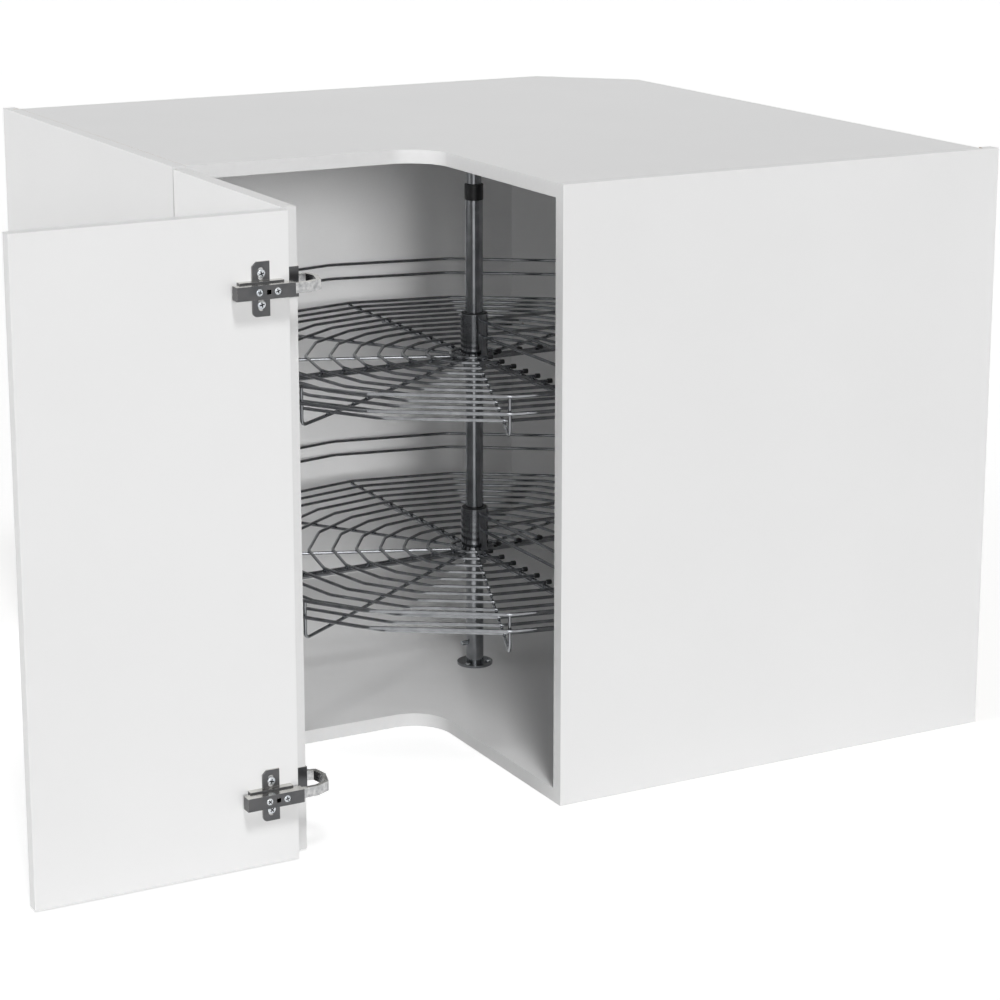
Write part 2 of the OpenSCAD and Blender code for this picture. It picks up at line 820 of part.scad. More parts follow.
module upper_shelf_bottom_bush() { translate([0, 0, upper_shelf_z]) bottom_bush(); }
module upper_shelf_floor_rings() { translate([0, 0, upper_shelf_z]) floor_rings(); }
module upper_shelf_arms() { translate([0, 0, upper_shelf_z]) floor_arms(); }
module upper_shelf_spokes() { translate([0, 0, upper_shelf_z]) spokes(); }
module upper_shelf_top_rail() { translate([0, 0, upper_shelf_z]) top_rail(); }
module upper_shelf_low_rail() { translate([0, 0, upper_shelf_z]) low_rail(); }
module upper_shelf_wire_caps() { translate([0, 0, upper_shelf_z]) wire_caps(); }

// ---------------------------------------------------------------- door

// Swings its children, drawn for a closed door, about the swing's axis
module door_swung() {
    translate([swing_x, swing_y, 0]) rotate([0, 0, -door_open])
        translate([-swing_x, -swing_y, 0]) children();
}

module door_leaf_1() {
    color("white") door_swung() difference() {
        translate([leaf_edge, leaf_outer, leaf_bottom])
            cube([leaf_1_end - leaf_edge, leaf_t, leaf_h]);
        at_side_cups() cup_bores();
        at_fold_cups() cup_bores();
    }
}

module door_leaf_2() {
    color("white") door_swung() difference() {
        translate([leaf_outer, leaf_2_edge, leaf_bottom])
            cube([leaf_t, leaf_2_end - leaf_2_edge, leaf_h]);
        at_fold_plates() plate_screw_bores();
    }
}

// ---------------------------------------------------------------- hinges

// The hinges' places: x in from the edge, y out of the face, z up from the hinge's middle
module at_side_hinges() {
    at_hinges() translate([side_inner, front, 0]) mirror([1, -1, 0]) children();
}
module at_fold_plates() {
    at_hinges() translate([leaf_inner, leaf_2_end, 0]) rotate([0, 0, -90]) children();
}
module at_side_cups() {
    at_hinges() translate([leaf_edge, leaf_inner, 0]) children();
}
module at_fold_cups() {
    at_hinges() translate([leaf_1_end, leaf_inner, 0]) mirror([1, 0, 0]) children();
}

// Both screws of a mounting plate
module at_plate_screws() {
    for (side = [-1, 1])
        translate([plate_screw_in, 0, side * plate_screw_gap / 2]) children();
}

module plate_screw_bores() {
    at_plate_screws() translate([0, -plate_screw_l - slide_play, 0])
        bar_y(plate_screw_d + bore_play, plate_screw_l + slide_play + cut);
}

// A cross-shaped mounting plate with an upright slot for each screw
module hinge_plate() {
    difference() {
        union() {
            translate([plate_screw_in - wing_w / 2, 0, -plate_h / 2])
                cube([wing_w, wing_t, plate_h]);
            translate([ridge_start, 0, -ridge_w / 2]) cube([ridge_l, ridge_h, ridge_w]);
        }
        at_plate_screws() plate_slot();
        plate_corner_cuts();
        for (x = cam_screw_x)
            translate([x, ridge_h - cam_screw_seat, 0])
                bar_y(cam_screw_d + bore_play, cam_screw_seat + cut);
    }
}

module plate_slot() {
    straight = (slot_l - slot_w) / 2;
    for (end = [-1, 1])
        translate([0, -cut, end * straight]) bar_y(slot_w, wing_t + 2 * cut);
    translate([-slot_w / 2, -cut, -straight]) cube([slot_w, wing_t + 2 * cut, 2 * straight]);
}

// The wings' outer corners: cut at 45 degrees at the top, rounded at the bottom
module plate_corner_cuts() {
    outer_x = plate_screw_in + wing_w / 2;
    translate([outer_x, -cut, plate_h / 2]) rotate([0, -45, 0])
        translate([-wing_corner / sqrt(2), 0, -wing_corner * sqrt(2)])
            cube([2 * wing_corner, wing_t + 2 * cut, 2 * wing_corner * sqrt(2)]);
    translate([outer_x - wing_corner, -cut, wing_corner - plate_h / 2])
        difference() {
            translate([0, 0, -wing_corner - cut])
                cube([wing_corner + cut, wing_t + 2 * cut, wing_corner + cut]);
            translate([0, -cut, 0]) bar_y(2 * wing_corner, wing_t + 4 * cut);
        }
}

module plate_screws() {
    at_plate_screws() {
        translate([0, wing_t, 0]) bar_y(plate_head_d, plate_head_h);
        translate([0, -plate_screw_l, 0]) bar_y(plate_screw_d, plate_screw_l + wing_t);
    }
}

// A U-shaped arm over the plate's ridge, with a bore through both cheeks for the pin
module hinge_arm() {
    difference() {
        translate([arm_start, ridge_h, -arm_w / 2]) cube([arm_l, arm_h, arm_w]);
        translate([arm_start - cut, ridge_h - cut, -arm_inside / 2])
            cube([arm_l - sheet_t + cut, arm_h - sheet_t + cut, arm_inside]);
        for (x = cam_screw_x)
            translate([x, arm_top - sheet_t - cut, 0])
                bar_y(cam_screw_head_d + bore_play, sheet_t + 2 * cut);
        translate([arm_window_x - arm_window / 2, arm_top - sheet_t - cut, -arm_window / 2])
            cube([arm_window, sheet_t + 2 * cut, arm_window]);
        translate([pin_x, pin_y, -arm_w / 2 - cut]) cylinder(d = pin_d + bore_play, h = arm_w + 2 * cut);
    }
}

// The two screws that hold an arm on its plate and set it sideways and in depth
module hinge_cams() {
    for (x = cam_screw_x) {
        translate([x, ridge_h - cam_screw_seat, 0])
            bar_y(cam_screw_d, arm_h + cam_screw_seat - sheet_t);
        translate([x, arm_top - sheet_t, 0]) bar_y(cam_screw_head_d, sheet_t);
    }
}

module hinge_pin() {
    translate([pin_x, pin_y, -arm_w / 2]) cylinder(d = pin_d, h = arm_w);
}

// A flat bar that follows a path in the level plane, with an eye for the pin at its start
module hinge_link(path) {
    last = len(path) - 1;
    sides = [for (i = [0:last])
        let (before = unit(path[max(i, 1)] - path[max(i, 1) - 1]),
            after = unit(path[min(i + 1, last)] - path[min(i + 1, last) - 1]),
            along = unit(before + after))
        turned(along, 90) / (along * before) * link_t / 2];
    left = [for (i = [0:last]) path[i] + sides[i]];
    right = [for (i = [last:-1:0]) path[i] - sides[i]];
    translate([0, 0, -link_w / 2]) difference() {
        union() {
            linear_extrude(link_w) polygon(concat(left, right));
            translate([path[0][0], path[0][1], 0]) cylinder(d = link_eye_d, h = link_w);
        }
        translate([path[0][0], path[0][1], -cut])
            cylinder(d = pin_d + 2 * turn_play, h = link_w + 2 * cut);
    }
}

// A cup sunk in a leaf, with a flange plate for two screws and two ears beside the link
module hinge_cup() {
    for (side = [-1, 1])
        translate([cup_inset - ear_l / 2, cup_wall / 2 - cup_depth,
            side * (link_w / 2 + ear_gap + ear_t / 2) - ear_t / 2])
            cube([ear_l, cup_depth - cup_wall / 2, ear_t]);
    translate([cup_inset, 0, 0]) difference() {
        union() {
            translate([0, -cup_depth, 0]) bar_y(cup_d - slide_play, cup_depth);
            bar_y(cup_flange_d, flange_plate_t);
            translate([cup_screw_out - cup_wing_w / 2, 0, -cup_wing_h / 2])
                cube([cup_wing_w, flange_plate_t, cup_wing_h]);
        }
        translate([0, cup_wall - cup_depth, 0])
            bar_y(cup_d - slide_play - 2 * cup_wall, cup_depth + flange_plate_t);
        at_cup_screws()
            translate([0, -cut, 0]) bar_y(cup_screw_d + bore_play, flange_plate_t + 2 * cut);
    }
}

// Both screws of a cup, from the cup's axis
module at_cup_screws() {
    for (side = [-1, 1])
        translate([cup_screw_out, 0, side * cup_screw_gap / 2]) children();
}

module cup_bores() {
    translate([cup_inset, 0, 0]) {
        translate([0, -cup_depth - slide_play, 0]) bar_y(cup_d, cup_depth + slide_play + cut);
        at_cup_screws()
            translate([0, -cup_screw_l, 0]) bar_y(cup_screw_d + bore_play, cup_screw_l + cut);
    }
}

module cup_screws() {
    translate([cup_inset, 0, 0]) at_cup_screws() {
        translate([0, flange_plate_t, 0]) bar_y(cup_head_d, cup_head_h);
        translate([0, slide_play - cup_screw_l, 0])
            bar_y(cup_screw_d, cup_screw_l + flange_plate_t - slide_play);
    }
}

// The tab that wraps a fold cup's flange around leaf 1's end
module cup_tab() {
    translate([-tab_t, -leaf_t, -tab_h / 2]) cube([tab_t, leaf_t + flange_plate_t, tab_h]);
    translate([-tab_t, 0, -tab_h / 2]) cube([tab_t + cup_inset - cup_d / 2, flange_plate_t, tab_h]);
}

module side_hinge_plates() { color("silver") at_side_hinges() hinge_plate(); }
module side_hinge_plate_screws() { color("gainsboro") at_side_hinges() plate_screws(); }
module side_hinge_arms() { color("silver") at_side_hinges() hinge_arm(); }
module side_hinge_cams() { color("gainsboro") at_side_hinges() hinge_cams(); }
module side_hinge_pins() { color("gainsboro") at_side_hinges() hinge_pin(); }
module side_hinge_links() {
    color("silver") at_hinges() translate([side_inner, front, 0]) hinge_link(side_link_path);
}
module side_hinge_cups() { color("silver") door_swung() at_side_cups() hinge_cup(); }
module side_hinge_cup_screws() { color("gainsboro") door_swung() at_side_cups() cup_screws(); }

module fold_hinge_plates() { color("silver") door_swung() at_fold_plates() hinge_plate(); }
module fold_hinge_plate_screws() { color("gainsboro") door_swung() at_fold_plates() plate_screws(); }
module fold_hinge_arms() { color("silver") door_swung() at_fold_plates() hinge_arm(); }
module fold_hinge_cams() { color("gainsboro") door_swung() at_fold_plates() hinge_cams(); }
module fold_hinge_pins() { color("gainsboro") door_swung() at_fold_plates() hinge_pin(); }
module fold_hinge_links() {
    color("silver") door_swung() at_hinges()
        translate([leaf_outer - fold_axis_out, leaf_2_end + fold_axis_past, 0]) hinge_link(fold_link_path);
}
module fold_hinge_cups() {
    color("silver") door_swung() at_fold_cups() {
        hinge_cup();
        cup_tab();
    }
}
module fold_hinge_cup_screws() { color("gainsboro") door_swung() at_fold_cups() cup_screws(); }

bottom_panel();
top_panel();
left_side_panel();
right_side_panel();
left_back_panel();
right_back_panel();
corner_back_panel();
carcass_dowels();
cam_bolts();
cam_housings();
back_panel_screws();
base_flange();
top_flange();
flange_screws();
lower_pole_tube();
upper_pole_tube();
pole_collar();
pole_lock_screw();
shelf_carrier_rings();
carrier_ring_screws();
lower_shelf_hub_sleeve();
lower_shelf_top_bush();
lower_shelf_bottom_bush();
lower_shelf_floor_rings();
lower_shelf_arms();
lower_shelf_spokes();
lower_shelf_top_rail();
lower_shelf_low_rail();
lower_shelf_wire_caps();
upper_shelf_hub_sleeve();
upper_shelf_top_bush();
upper_shelf_bottom_bush();
upper_shelf_floor_rings();
upper_shelf_arms();
upper_shelf_spokes();
upper_shelf_top_rail();
upper_shelf_low_rail();
upper_shelf_wire_caps();
door_leaf_1();
door_leaf_2();
side_hinge_plates();
side_hinge_plate_screws();
side_hinge_arms();
side_hinge_cams();
side_hinge_pins();
side_hinge_links();
side_hinge_cups();
side_hinge_cup_screws();
fold_hinge_plates();
fold_hinge_plate_screws();
fold_hinge_arms();
fold_hinge_cams();
fold_hinge_pins();
fold_hinge_links();
fold_hinge_cups();
fold_hinge_cup_screws();
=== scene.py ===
"""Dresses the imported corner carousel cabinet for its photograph.

Boards, pole, wire shelves, folding door and hinges are built over the CAD frame, each as a
class that holds its sizes in millimetres. Meshes are in metres, in the frame's own axes.
"""

import logging
import math
from dataclasses import dataclass
from enum import Enum
from functools import lru_cache
from typing import Any, Callable, Sequence

import bmesh
import bpy
from mathutils import Matrix, Vector


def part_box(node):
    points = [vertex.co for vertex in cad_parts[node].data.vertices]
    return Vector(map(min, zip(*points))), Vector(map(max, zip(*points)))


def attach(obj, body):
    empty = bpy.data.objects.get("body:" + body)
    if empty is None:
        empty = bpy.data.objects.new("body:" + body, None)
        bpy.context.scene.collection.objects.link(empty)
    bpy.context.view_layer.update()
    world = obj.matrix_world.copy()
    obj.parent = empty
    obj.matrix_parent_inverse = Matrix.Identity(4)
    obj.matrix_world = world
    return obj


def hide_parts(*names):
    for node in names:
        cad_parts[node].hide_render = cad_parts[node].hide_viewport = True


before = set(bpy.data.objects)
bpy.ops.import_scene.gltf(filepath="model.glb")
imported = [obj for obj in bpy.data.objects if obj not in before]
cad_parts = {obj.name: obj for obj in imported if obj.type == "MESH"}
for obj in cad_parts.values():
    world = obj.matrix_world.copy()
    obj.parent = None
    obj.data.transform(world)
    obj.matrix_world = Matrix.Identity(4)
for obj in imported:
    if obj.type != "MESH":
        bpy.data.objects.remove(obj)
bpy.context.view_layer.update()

LOG = logging.getLogger("cabinet")
MM = 0.001

# Corners this close are one corner, and faces that turn by less than this are one flat area
MERGE_DISTANCE = 0.001 * MM
FLAT_DEG = 0.5

# An edge that turns by more than this is shaded sharp, on a board or turned part and on a wire
SOLID_SHARP_DEG = 50.0
WIRE_SHARP_DEG = 40.0

# An edge that turns by more than this is rounded, with this number of strips
CORNER_DEG = 30.0
ROUND_STRIPS = 2

# A face looks along a direction if its normal has at least this share of it
FACING = 0.9

# Surfaces this close to a board's face or edge, in millimetres, belong to it
NEAR = 0.8

# The shelves' wires follow a polygon of this many sides and leave out one quarter of it
POLYGON_SIDES = 16
POLYGON_CORNERS = 3 * POLYGON_SIDES // 4 + 1

# Steps round a turned part
TURNED_STEPS = 64

# How far copies of a piece may be turned about their own axis, and the seed of those turns
TURN_SPREAD = math.pi
SEED = 7

Run = Sequence[tuple[Vector, float]]
Place = tuple[Vector, Vector]
Profile = tuple[tuple[float, float], ...]


# ------------------------------------------------------------------ named options

class Body(str, Enum):
    """The CAD bodies that pieces ride on."""

    CARCASS = "carcass"
    LEAF_1 = "leaf_1"
    LEAF_2 = "leaf_2"
    SIDE_LINKS = "side_links"
    FOLD_LINKS = "fold_links"
    LOWER_SHELF = "lower_shelf"
    UPPER_SHELF = "upper_shelf"


class Slot(str, Enum):
    """The record's material slots."""

    BOARD = "white_melamine_board"
    HARDBOARD = "white_hardboard"
    BEECH = "beech_dowel"
    PLASTIC = "black_plastic"
    ZINC_ALLOY = "zinc_alloy"
    ZINC_PLATE = "zinc_plated_screw"
    NICKEL = "nickel_plated_steel"
    CHROME = "chrome_plated_steel"


class Surface(Enum):
    """The kinds of surface that a board shows."""

    FACE = 0
    BAND = 1
    CORE = 2


# ------------------------------------------------------------------ small tools

def linear(colour: str) -> tuple[float, float, float, float]:
    """Turns a colour from sRGB hex to linear light.

    Args:
        colour: The colour as "#rrggbb".

    Returns:
        Red, green, blue and an alpha of 1.
    """
    parts = [int(colour[i:i + 2], 16) / 255 for i in (1, 3, 5)]
    red, green, blue = (p / 12.92 if p <= 0.04045 else ((p + 0.055) / 1.055) ** 2.4
                        for p in parts)
    return red, green, blue, 1.0


def per_metre(size_mm: float) -> float:
    """Returns the scale of a pattern whose features are size_mm apart."""
    return 1 / (size_mm * MM)


def add_node(tree: bpy.types.NodeTree, kind: str, settings: dict[str | int, Any] | None = None,
             links: dict[str | int, bpy.types.NodeSocket] | None = None) -> bpy.types.Node:
    """Adds a node with its settings and links.

    Args:
        tree: The tree that gets the node.
        kind: Blender's name for the node's type.
        settings: Values by property name, or else by input name or number.
        links: The socket that feeds each input, by input name or number.

    Returns:
        The new node.
    """
    node = tree.nodes.new(kind)
    for key, value in (settings or {}).items():
        if isinstance(key, str) and key in node.bl_rna.properties:
            setattr(node, key, value)
        else:
            node.inputs[key].default_value = value
    for key, socket in (links or {}).items():
        tree.links.new(socket, node.inputs[key])
    return node


def add_object(name: str, data: bpy.types.ID) -> bpy.types.Object:
    """Adds an object to the scene.

    Args:
        name: The object's name.
        data: Its mesh, light or camera.

    Returns:
        The new object.
    """
    item = bpy.data.objects.new(name, data)
    bpy.context.scene.collection.objects.link(item)
    return item


# ------------------------------------------------------------------ finishes

@dataclass(frozen=True)
class Ground:
    """A plain material: its tree, its shader and the socket of its Object coordinates."""

    tree: bpy.types.NodeTree
    shader: bpy.types.Node
    coords: bpy.types.NodeSocket

    def feed(self, name: str, socket: bpy.types.NodeSocket) -> None:
        """Feeds the shader's input of that name from a socket."""
        self.tree.links.new(socket, self.shader.inputs[name])


@dataclass(frozen=True)
class Finish:
    """What every finish has: a name, a base colour, a roughness and a metallic share."""

    name: str
    colour: str
    roughness: float
    metallic: float = 0.0

    def material(self) -> bpy.types.Material:
        """Makes the finish's material.

        Returns:
            The material, with its plain values and its pattern.
        """
        material = bpy.data.materials.new(self.name)
        material.use_nodes = True
        material.diffuse_color = linear(self.colour)
        tree = material.node_tree
        shader = tree.nodes["Principled BSDF"]
        shader.inputs["Base Color"].default_value = linear(self.colour)
        shader.inputs["Roughness"].default_value = self.roughness
        shader.inputs["Metallic"].default_value = self.metallic
        self.draw(Ground(tree, shader, add_node(tree, "ShaderNodeTexCoord").outputs["Object"]))
        return material

    def draw(self, ground: Ground) -> None:
        """Draws the finish's pattern on its plain material."""
        raise NotImplementedError


@dataclass(frozen=True)
class MelamineFace(Finish):
    """Melamine paper pressed on chipboard: a satin white sheet with a fine pearl grain."""

    shade: str = "#e9e9e9"
    pearl_mm: float = 2.5
    cloud_mm: float = 160.0
    gloss_spread: float = 0.06
    relief_mm: float = 0.05

    def draw(self, ground: Ground) -> None:
        """Draws the drift of the white and the pearl grain.

        Args:
            ground: The plain material.
        """
        # The eye sees an even white that drifts by a hair over a hand's width, and soft
        # highlights broken by the pearl grain. The real grain is about 0.6 mm and is drawn
        # coarser, so that it shows.
        tree, coords = ground.tree, ground.coords
        cloud = add_node(tree, "ShaderNodeTexNoise",
                         {"Scale": per_metre(self.cloud_mm), "Detail": 2.0}, {"Vector": coords})
        pearl = add_node(tree, "ShaderNodeTexNoise",
                         {"Scale": per_metre(self.pearl_mm), "Detail": 3.0, "Roughness": 0.6},
                         {"Vector": coords})
        tint = add_node(tree, "ShaderNodeMix", {"data_type": "RGBA", 6: linear(self.colour),
                                                7: linear(self.shade)},
                        {0: cloud.outputs["Fac"]})
        ground.feed("Base Color", tint.outputs[2])
        gloss = add_node(tree, "ShaderNodeMapRange",
                         {"To Min": self.roughness - self.gloss_spread,
                          "To Max": self.roughness + self.gloss_spread},
                         {"Value": pearl.outputs["Fac"]})
        ground.feed("Roughness", gloss.outputs["Result"])
        relief = add_node(tree, "ShaderNodeBump",
                          {"Strength": 0.25, "Distance": self.relief_mm * MM},
                          {"Height": pearl.outputs["Fac"]})
        ground.feed("Normal", relief.outputs["Normal"])


@dataclass(frozen=True)
class EdgeBand(Finish):
    """White ABS edging glued round a board: smoother and a little greyer than its face."""

    shade: str = "#e0e0e0"
    streak_mm: float = 6.0
    gloss_less: float = 0.05
    gloss_more: float = 0.08

    def draw(self, ground: Ground) -> None:
        """Draws the scraper streaks.

        Args:
            ground: The plain material.
        """
        # The eye sees a smooth strip with faint scraper streaks and a tighter highlight.
        tree = ground.tree
        streak = add_node(tree, "ShaderNodeTexNoise",
                          {"Scale": per_metre(self.streak_mm), "Detail": 4.0},
                          {"Vector": ground.coords})
        tint = add_node(tree, "ShaderNodeMix", {"data_type": "RGBA", 6: linear(self.colour),
                                                7: linear(self.shade)},
                        {0: streak.outputs["Fac"]})
        ground.feed("Base Color", tint.outputs[2])
        gloss = add_node(tree, "ShaderNodeMapRange",
                         {"To Min": self.roughness - self.gloss_less,
                          "To Max": self.roughness + self.gloss_more},
                         {"Value": streak.outputs["Fac"]})
        ground.feed("Roughness", gloss.outputs["Result"])


@dataclass(frozen=True)
class Chipboard(Finish):
    """Sawn chipboard where no edging covers it: pressed flakes of pale and brown wood."""

    pale: str = "#cdb58c"
    dark: str = "#7d5f3f"
    flake_mm: float = 3.0
    dust_mm: float = 1.0
    relief_mm: float = 0.3

    def draw(self, ground: Ground) -> None:
        """Draws the flakes and the pits between them.

        Args:
            ground: The plain material.
        """
        # The eye sees pale flakes between darker ones, with pits where the saw tore them.
        tree, coords = ground.tree, ground.coords
        flakes = add_node(tree, "ShaderNodeTexVoronoi",
                          {"Scale": per_metre(self.flake_mm), "Randomness": 1.0},
                          {"Vector": coords})
        part = add_node(tree, "ShaderNodeSeparateColor", {}, {"Color": flakes.outputs["Color"]})
        wood = add_node(tree, "ShaderNodeMix", {"data_type": "RGBA", 6: linear(self.pale),
                                                7: linear(self.colour)},
                        {0: part.outputs["Red"]})
        dust = add_node(tree, "ShaderNodeTexNoise",
                        {"Scale": per_metre(self.dust_mm), "Detail": 4.0}, {"Vector": coords})
        pits = add_node(tree, "ShaderNodeMapRange",
                        {"From Min": 0.52, "From Max": 0.72, "To Max": 0.85},
                        {"Value": dust.outputs["Fac"]})
        tint = add_node(tree, "ShaderNodeMix", {"data_type": "RGBA", 7: linear(self.dark)},
                        {0: pits.outputs["Result"], 6: wood.outputs[2]})
        ground.feed("Base Color", tint.outputs[2])
        relief = add_node(tree, "ShaderNodeBump",
                          {"Strength": 0.7, "Distance": self.relief_mm * MM},
                          {"Height": flakes.outputs["Distance"]})
        ground.feed("Normal", relief.outputs["Normal"])


@dataclass(frozen=True)
class Hardboard(Finish):
    """Thin fibreboard: its rolled white lacquer, or the bare brown fibres of its back."""

    shade: str = "#e2e3e2"
    fibre_mm: float = 1.6
    cloud_mm: float = 96.0
    relief_mm: float = 0.03

    def draw(self, ground: Ground) -> None:
        """Draws the fibres, or the stipple of the coat over them.

        Args:
            ground: The plain material.
        """
        # The eye sees a thin coat with roller stipple, or matted brown fibres. Real fibres
        # are about 0.2 mm across and are drawn coarser, so that they show.
        tree, coords = ground.tree, ground.coords
        fibre = add_node(tree, "ShaderNodeTexNoise",
                         {"Scale": per_metre(self.fibre_mm), "Detail": 5.0, "Roughness": 0.7,
                          "Distortion": 1.5}, {"Vector": coords})
        cloud = add_node(tree, "ShaderNodeTexNoise",
                         {"Scale": per_metre(self.cloud_mm), "Detail": 3.0}, {"Vector": coords})
        both = add_node(tree, "ShaderNodeMath", {"operation": "MULTIPLY"},
                        {0: fibre.outputs["Fac"], 1: cloud.outputs["Fac"]})
        share = add_node(tree, "ShaderNodeMapRange", {"From Min": 0.1, "From Max": 0.4},
                         {"Value": both.outputs[0]})
        tint = add_node(tree, "ShaderNodeMix", {"data_type": "RGBA", 6: linear(self.colour),
                                                7: linear(self.shade)},
                        {0: share.outputs["Result"]})
        ground.feed("Base Color", tint.outputs[2])
        relief = add_node(tree, "ShaderNodeBump",
                          {"Strength": 0.4, "Distance": self.relief_mm * MM},
                          {"Height": fibre.outputs["Fac"]})
        ground.feed("Normal", relief.outputs["Normal"])


@dataclass(frozen=True)
class BeechWood(Finish):
    """Turned beech: pale pink-brown with short darker flecks along the grain."""

    fleck: str = "#a87b52"
    fleck_mm: float = 1.2

    def draw(self, ground: Ground) -> None:
        """Draws the flecks.

        Args:
            ground: The plain material.
        """
        # The eye sees short dark flecks on a warm, even ground.
        tree = ground.tree
        grain = add_node(tree, "ShaderNodeTexNoise",
                         {"Scale": per_metre(self.fleck_mm), "Detail": 3.0, "Distortion": 0.8},
                         {"Vector": ground.coords})
        share = add_node(tree, "ShaderNodeMapRange", {"From Min": 0.55, "From Max": 0.7},
                         {"Value": grain.outputs["Fac"]})
        tint = add_node(tree, "ShaderNodeMix", {"data_type": "RGBA", 6: linear(self.colour),
                                                7: linear(self.fleck)},
                        {0: share.outputs["Result"]})
        ground.feed("Base Color", tint.outputs[2])


@dataclass(frozen=True)
class MouldedPlastic(Finish):
    """Moulded black polypropylene: a fine spark-eroded texture that greys its highlights."""

    worn: str = "#26272a"
    texture_mm: float = 0.6
    rub_mm: float = 9.0
    relief_mm: float = 0.04

    def draw(self, ground: Ground) -> None:
        """Draws the mould's texture and the rubbed spots.

        Args:
            ground: The plain material.
        """
        # The eye sees deep black with a soft broad sheen and slightly greyer rubbed spots.
        tree, coords = ground.tree, ground.coords
        texture = add_node(tree, "ShaderNodeTexNoise",
                           {"Scale": per_metre(self.texture_mm), "Detail": 2.0},
                           {"Vector": coords})
        rub = add_node(tree, "ShaderNodeTexNoise",
                       {"Scale": per_metre(self.rub_mm), "Detail": 3.0}, {"Vector": coords})
        share = add_node(tree, "ShaderNodeMapRange", {"From Min": 0.5, "From Max": 0.8},
                         {"Value": rub.outputs["Fac"]})
        tint = add_node(tree, "ShaderNodeMix", {"data_type": "RGBA", 6: linear(self.colour),
                                                7: linear(self.worn)},
                        {0: share.outputs["Result"]})
        ground.feed("Base Color", tint.outputs[2])
        relief = add_node(tree, "ShaderNodeBump",
                          {"Strength": 0.5, "Distance": self.relief_mm * MM},
                          {"Height": texture.outputs["Fac"]})
        ground.feed("Normal", relief.outputs["Normal"])


@dataclass(frozen=True)
class PlatedMetal(Finish):
    """Plated steel or die-cast zinc: a metal whose gloss has patches and a fine relief."""

    shade: str = "#8a8d90"
    patch_mm: float = 14.0
    grain_mm: float = 0.8
    relief_mm: float = 0.01
    gloss_spread: float = 0.05
    least_roughness: float = 0.02

    def draw(self, ground: Ground) -> None:
        """Draws the patches and the grain.

        Args:
            ground: The plain material.
        """
        # The eye sees reflections that tighten and soften in patches, and a tint that
        # drifts between two close greys, as on a plated surface that hands have touched.
        tree, coords = ground.tree, ground.coords
        patch = add_node(tree, "ShaderNodeTexNoise",
                         {"Scale": per_metre(self.patch_mm), "Detail": 3.0}, {"Vector": coords})
        grain = add_node(tree, "ShaderNodeTexNoise",
                         {"Scale": per_metre(self.grain_mm), "Detail": 2.0}, {"Vector": coords})
        share = add_node(tree, "ShaderNodeMapRange", {"From Min": 0.35, "From Max": 0.7},
                         {"Value": patch.outputs["Fac"]})
        tint = add_node(tree, "ShaderNodeMix", {"data_type": "RGBA", 6: linear(self.colour),
                                                7: linear(self.shade)},
                        {0: share.outputs["Result"]})
        ground.feed("Base Color", tint.outputs[2])
        gloss = add_node(tree, "ShaderNodeMapRange",
                         {"To Min": max(self.least_roughness,
                                        self.roughness - self.gloss_spread),
                          "To Max": self.roughness + self.gloss_spread},
                         {"Value": patch.outputs["Fac"]})
        ground.feed("Roughness", gloss.outputs["Result"])
        relief = add_node(tree, "ShaderNodeBump",
                          {"Strength": 0.3, "Distance": self.relief_mm * MM},
                          {"Height": grain.outputs["Fac"]})
        ground.feed("Normal", relief.outputs["Normal"])


MELAMINE = MelamineFace("white_melamine_face", "#ededed", 0.42)
# The door's melamine is the boards' white painted a little lighter: painted light, for the more
# light that falls on the door
LIGHTER_DOOR_FACE = MelamineFace("white_door_melamine_painted_lighter", "#f2f2f2", 0.36, shade="#eeeeee")
EDGING = EdgeBand("white_abs_edging", "#e5e5e5", 0.3)
CORE = Chipboard("sawn_chipboard", "#a98a5f", 0.85)
LACQUER = Hardboard("white_lacquered_hardboard", "#f4f4f4", 0.45, shade="#eeeeee")
FIBRES = Hardboard("bare_hardboard_back", "#a2835c", 0.8, shade="#86683f", relief_mm=0.12)
BEECH = BeechWood("turned_beech", "#d3ab80", 0.6)
BLACK_PLASTIC = MouldedPlastic("moulded_black_polypropylene", "#131416", 0.42)
DIE_CAST = PlatedMetal("die_cast_zinc", "#a3a6a8", 0.45, 1.0, shade="#8e9092", grain_mm=1.2,
                       relief_mm=0.05)
# Dark zinc painted into the screws' recesses: painted shade where the recess lies in shadow
RECESS_SHADE = PlatedMetal("zinc_recess_painted_shade", "#3a3b3d", 0.5, 1.0, shade="#2c2d2f")
ZINC_PLATE = PlatedMetal("bright_zinc_plate", "#d3d6d8", 0.22, 1.0, shade="#bfc5cb")
WELD = PlatedMetal("chrome_over_weld", "#8b8d90", 0.3, 1.0, shade="#5d5f62", patch_mm=3.0)
NICKEL = PlatedMetal("nickel_plated_pressing", "#636364", 0.3, 1.0, shade="#58595b",
                     grain_mm=1.5, relief_mm=0.02)
# Bright nickel: the hinge pins' own colour, and a painted highlight on the pressings' rounded
# edges and level faces
BRIGHT_NICKEL_AND_HIGHLIGHT = PlatedMetal("bright_nickel_and_painted_highlight", "#d5d4d0", 0.2, 1.0, shade="#bdbcb8")
NICKEL_LINK = PlatedMetal("tumbled_nickel_link", "#c9c9c9", 0.22, 1.0, shade="#a2a3a4",
                          patch_mm=5.0)
CHROME = PlatedMetal("polished_chrome_plate", "#9b9da0", 0.06, 1.0, shade="#85878a",
                     gloss_spread=0.02, relief_mm=0.004)
CHROME_TUBE = PlatedMetal("chrome_plate_on_drawn_tube", "#97999c", 0.14, 1.0,
                          shade="#828487", gloss_spread=0.04, relief_mm=0.004)


@lru_cache(maxsize=None)
def made(finish: Finish) -> bpy.types.Material:
    """Returns the finish's material, which is made once."""
    return finish.material()


# ------------------------------------------------------------------ pieces

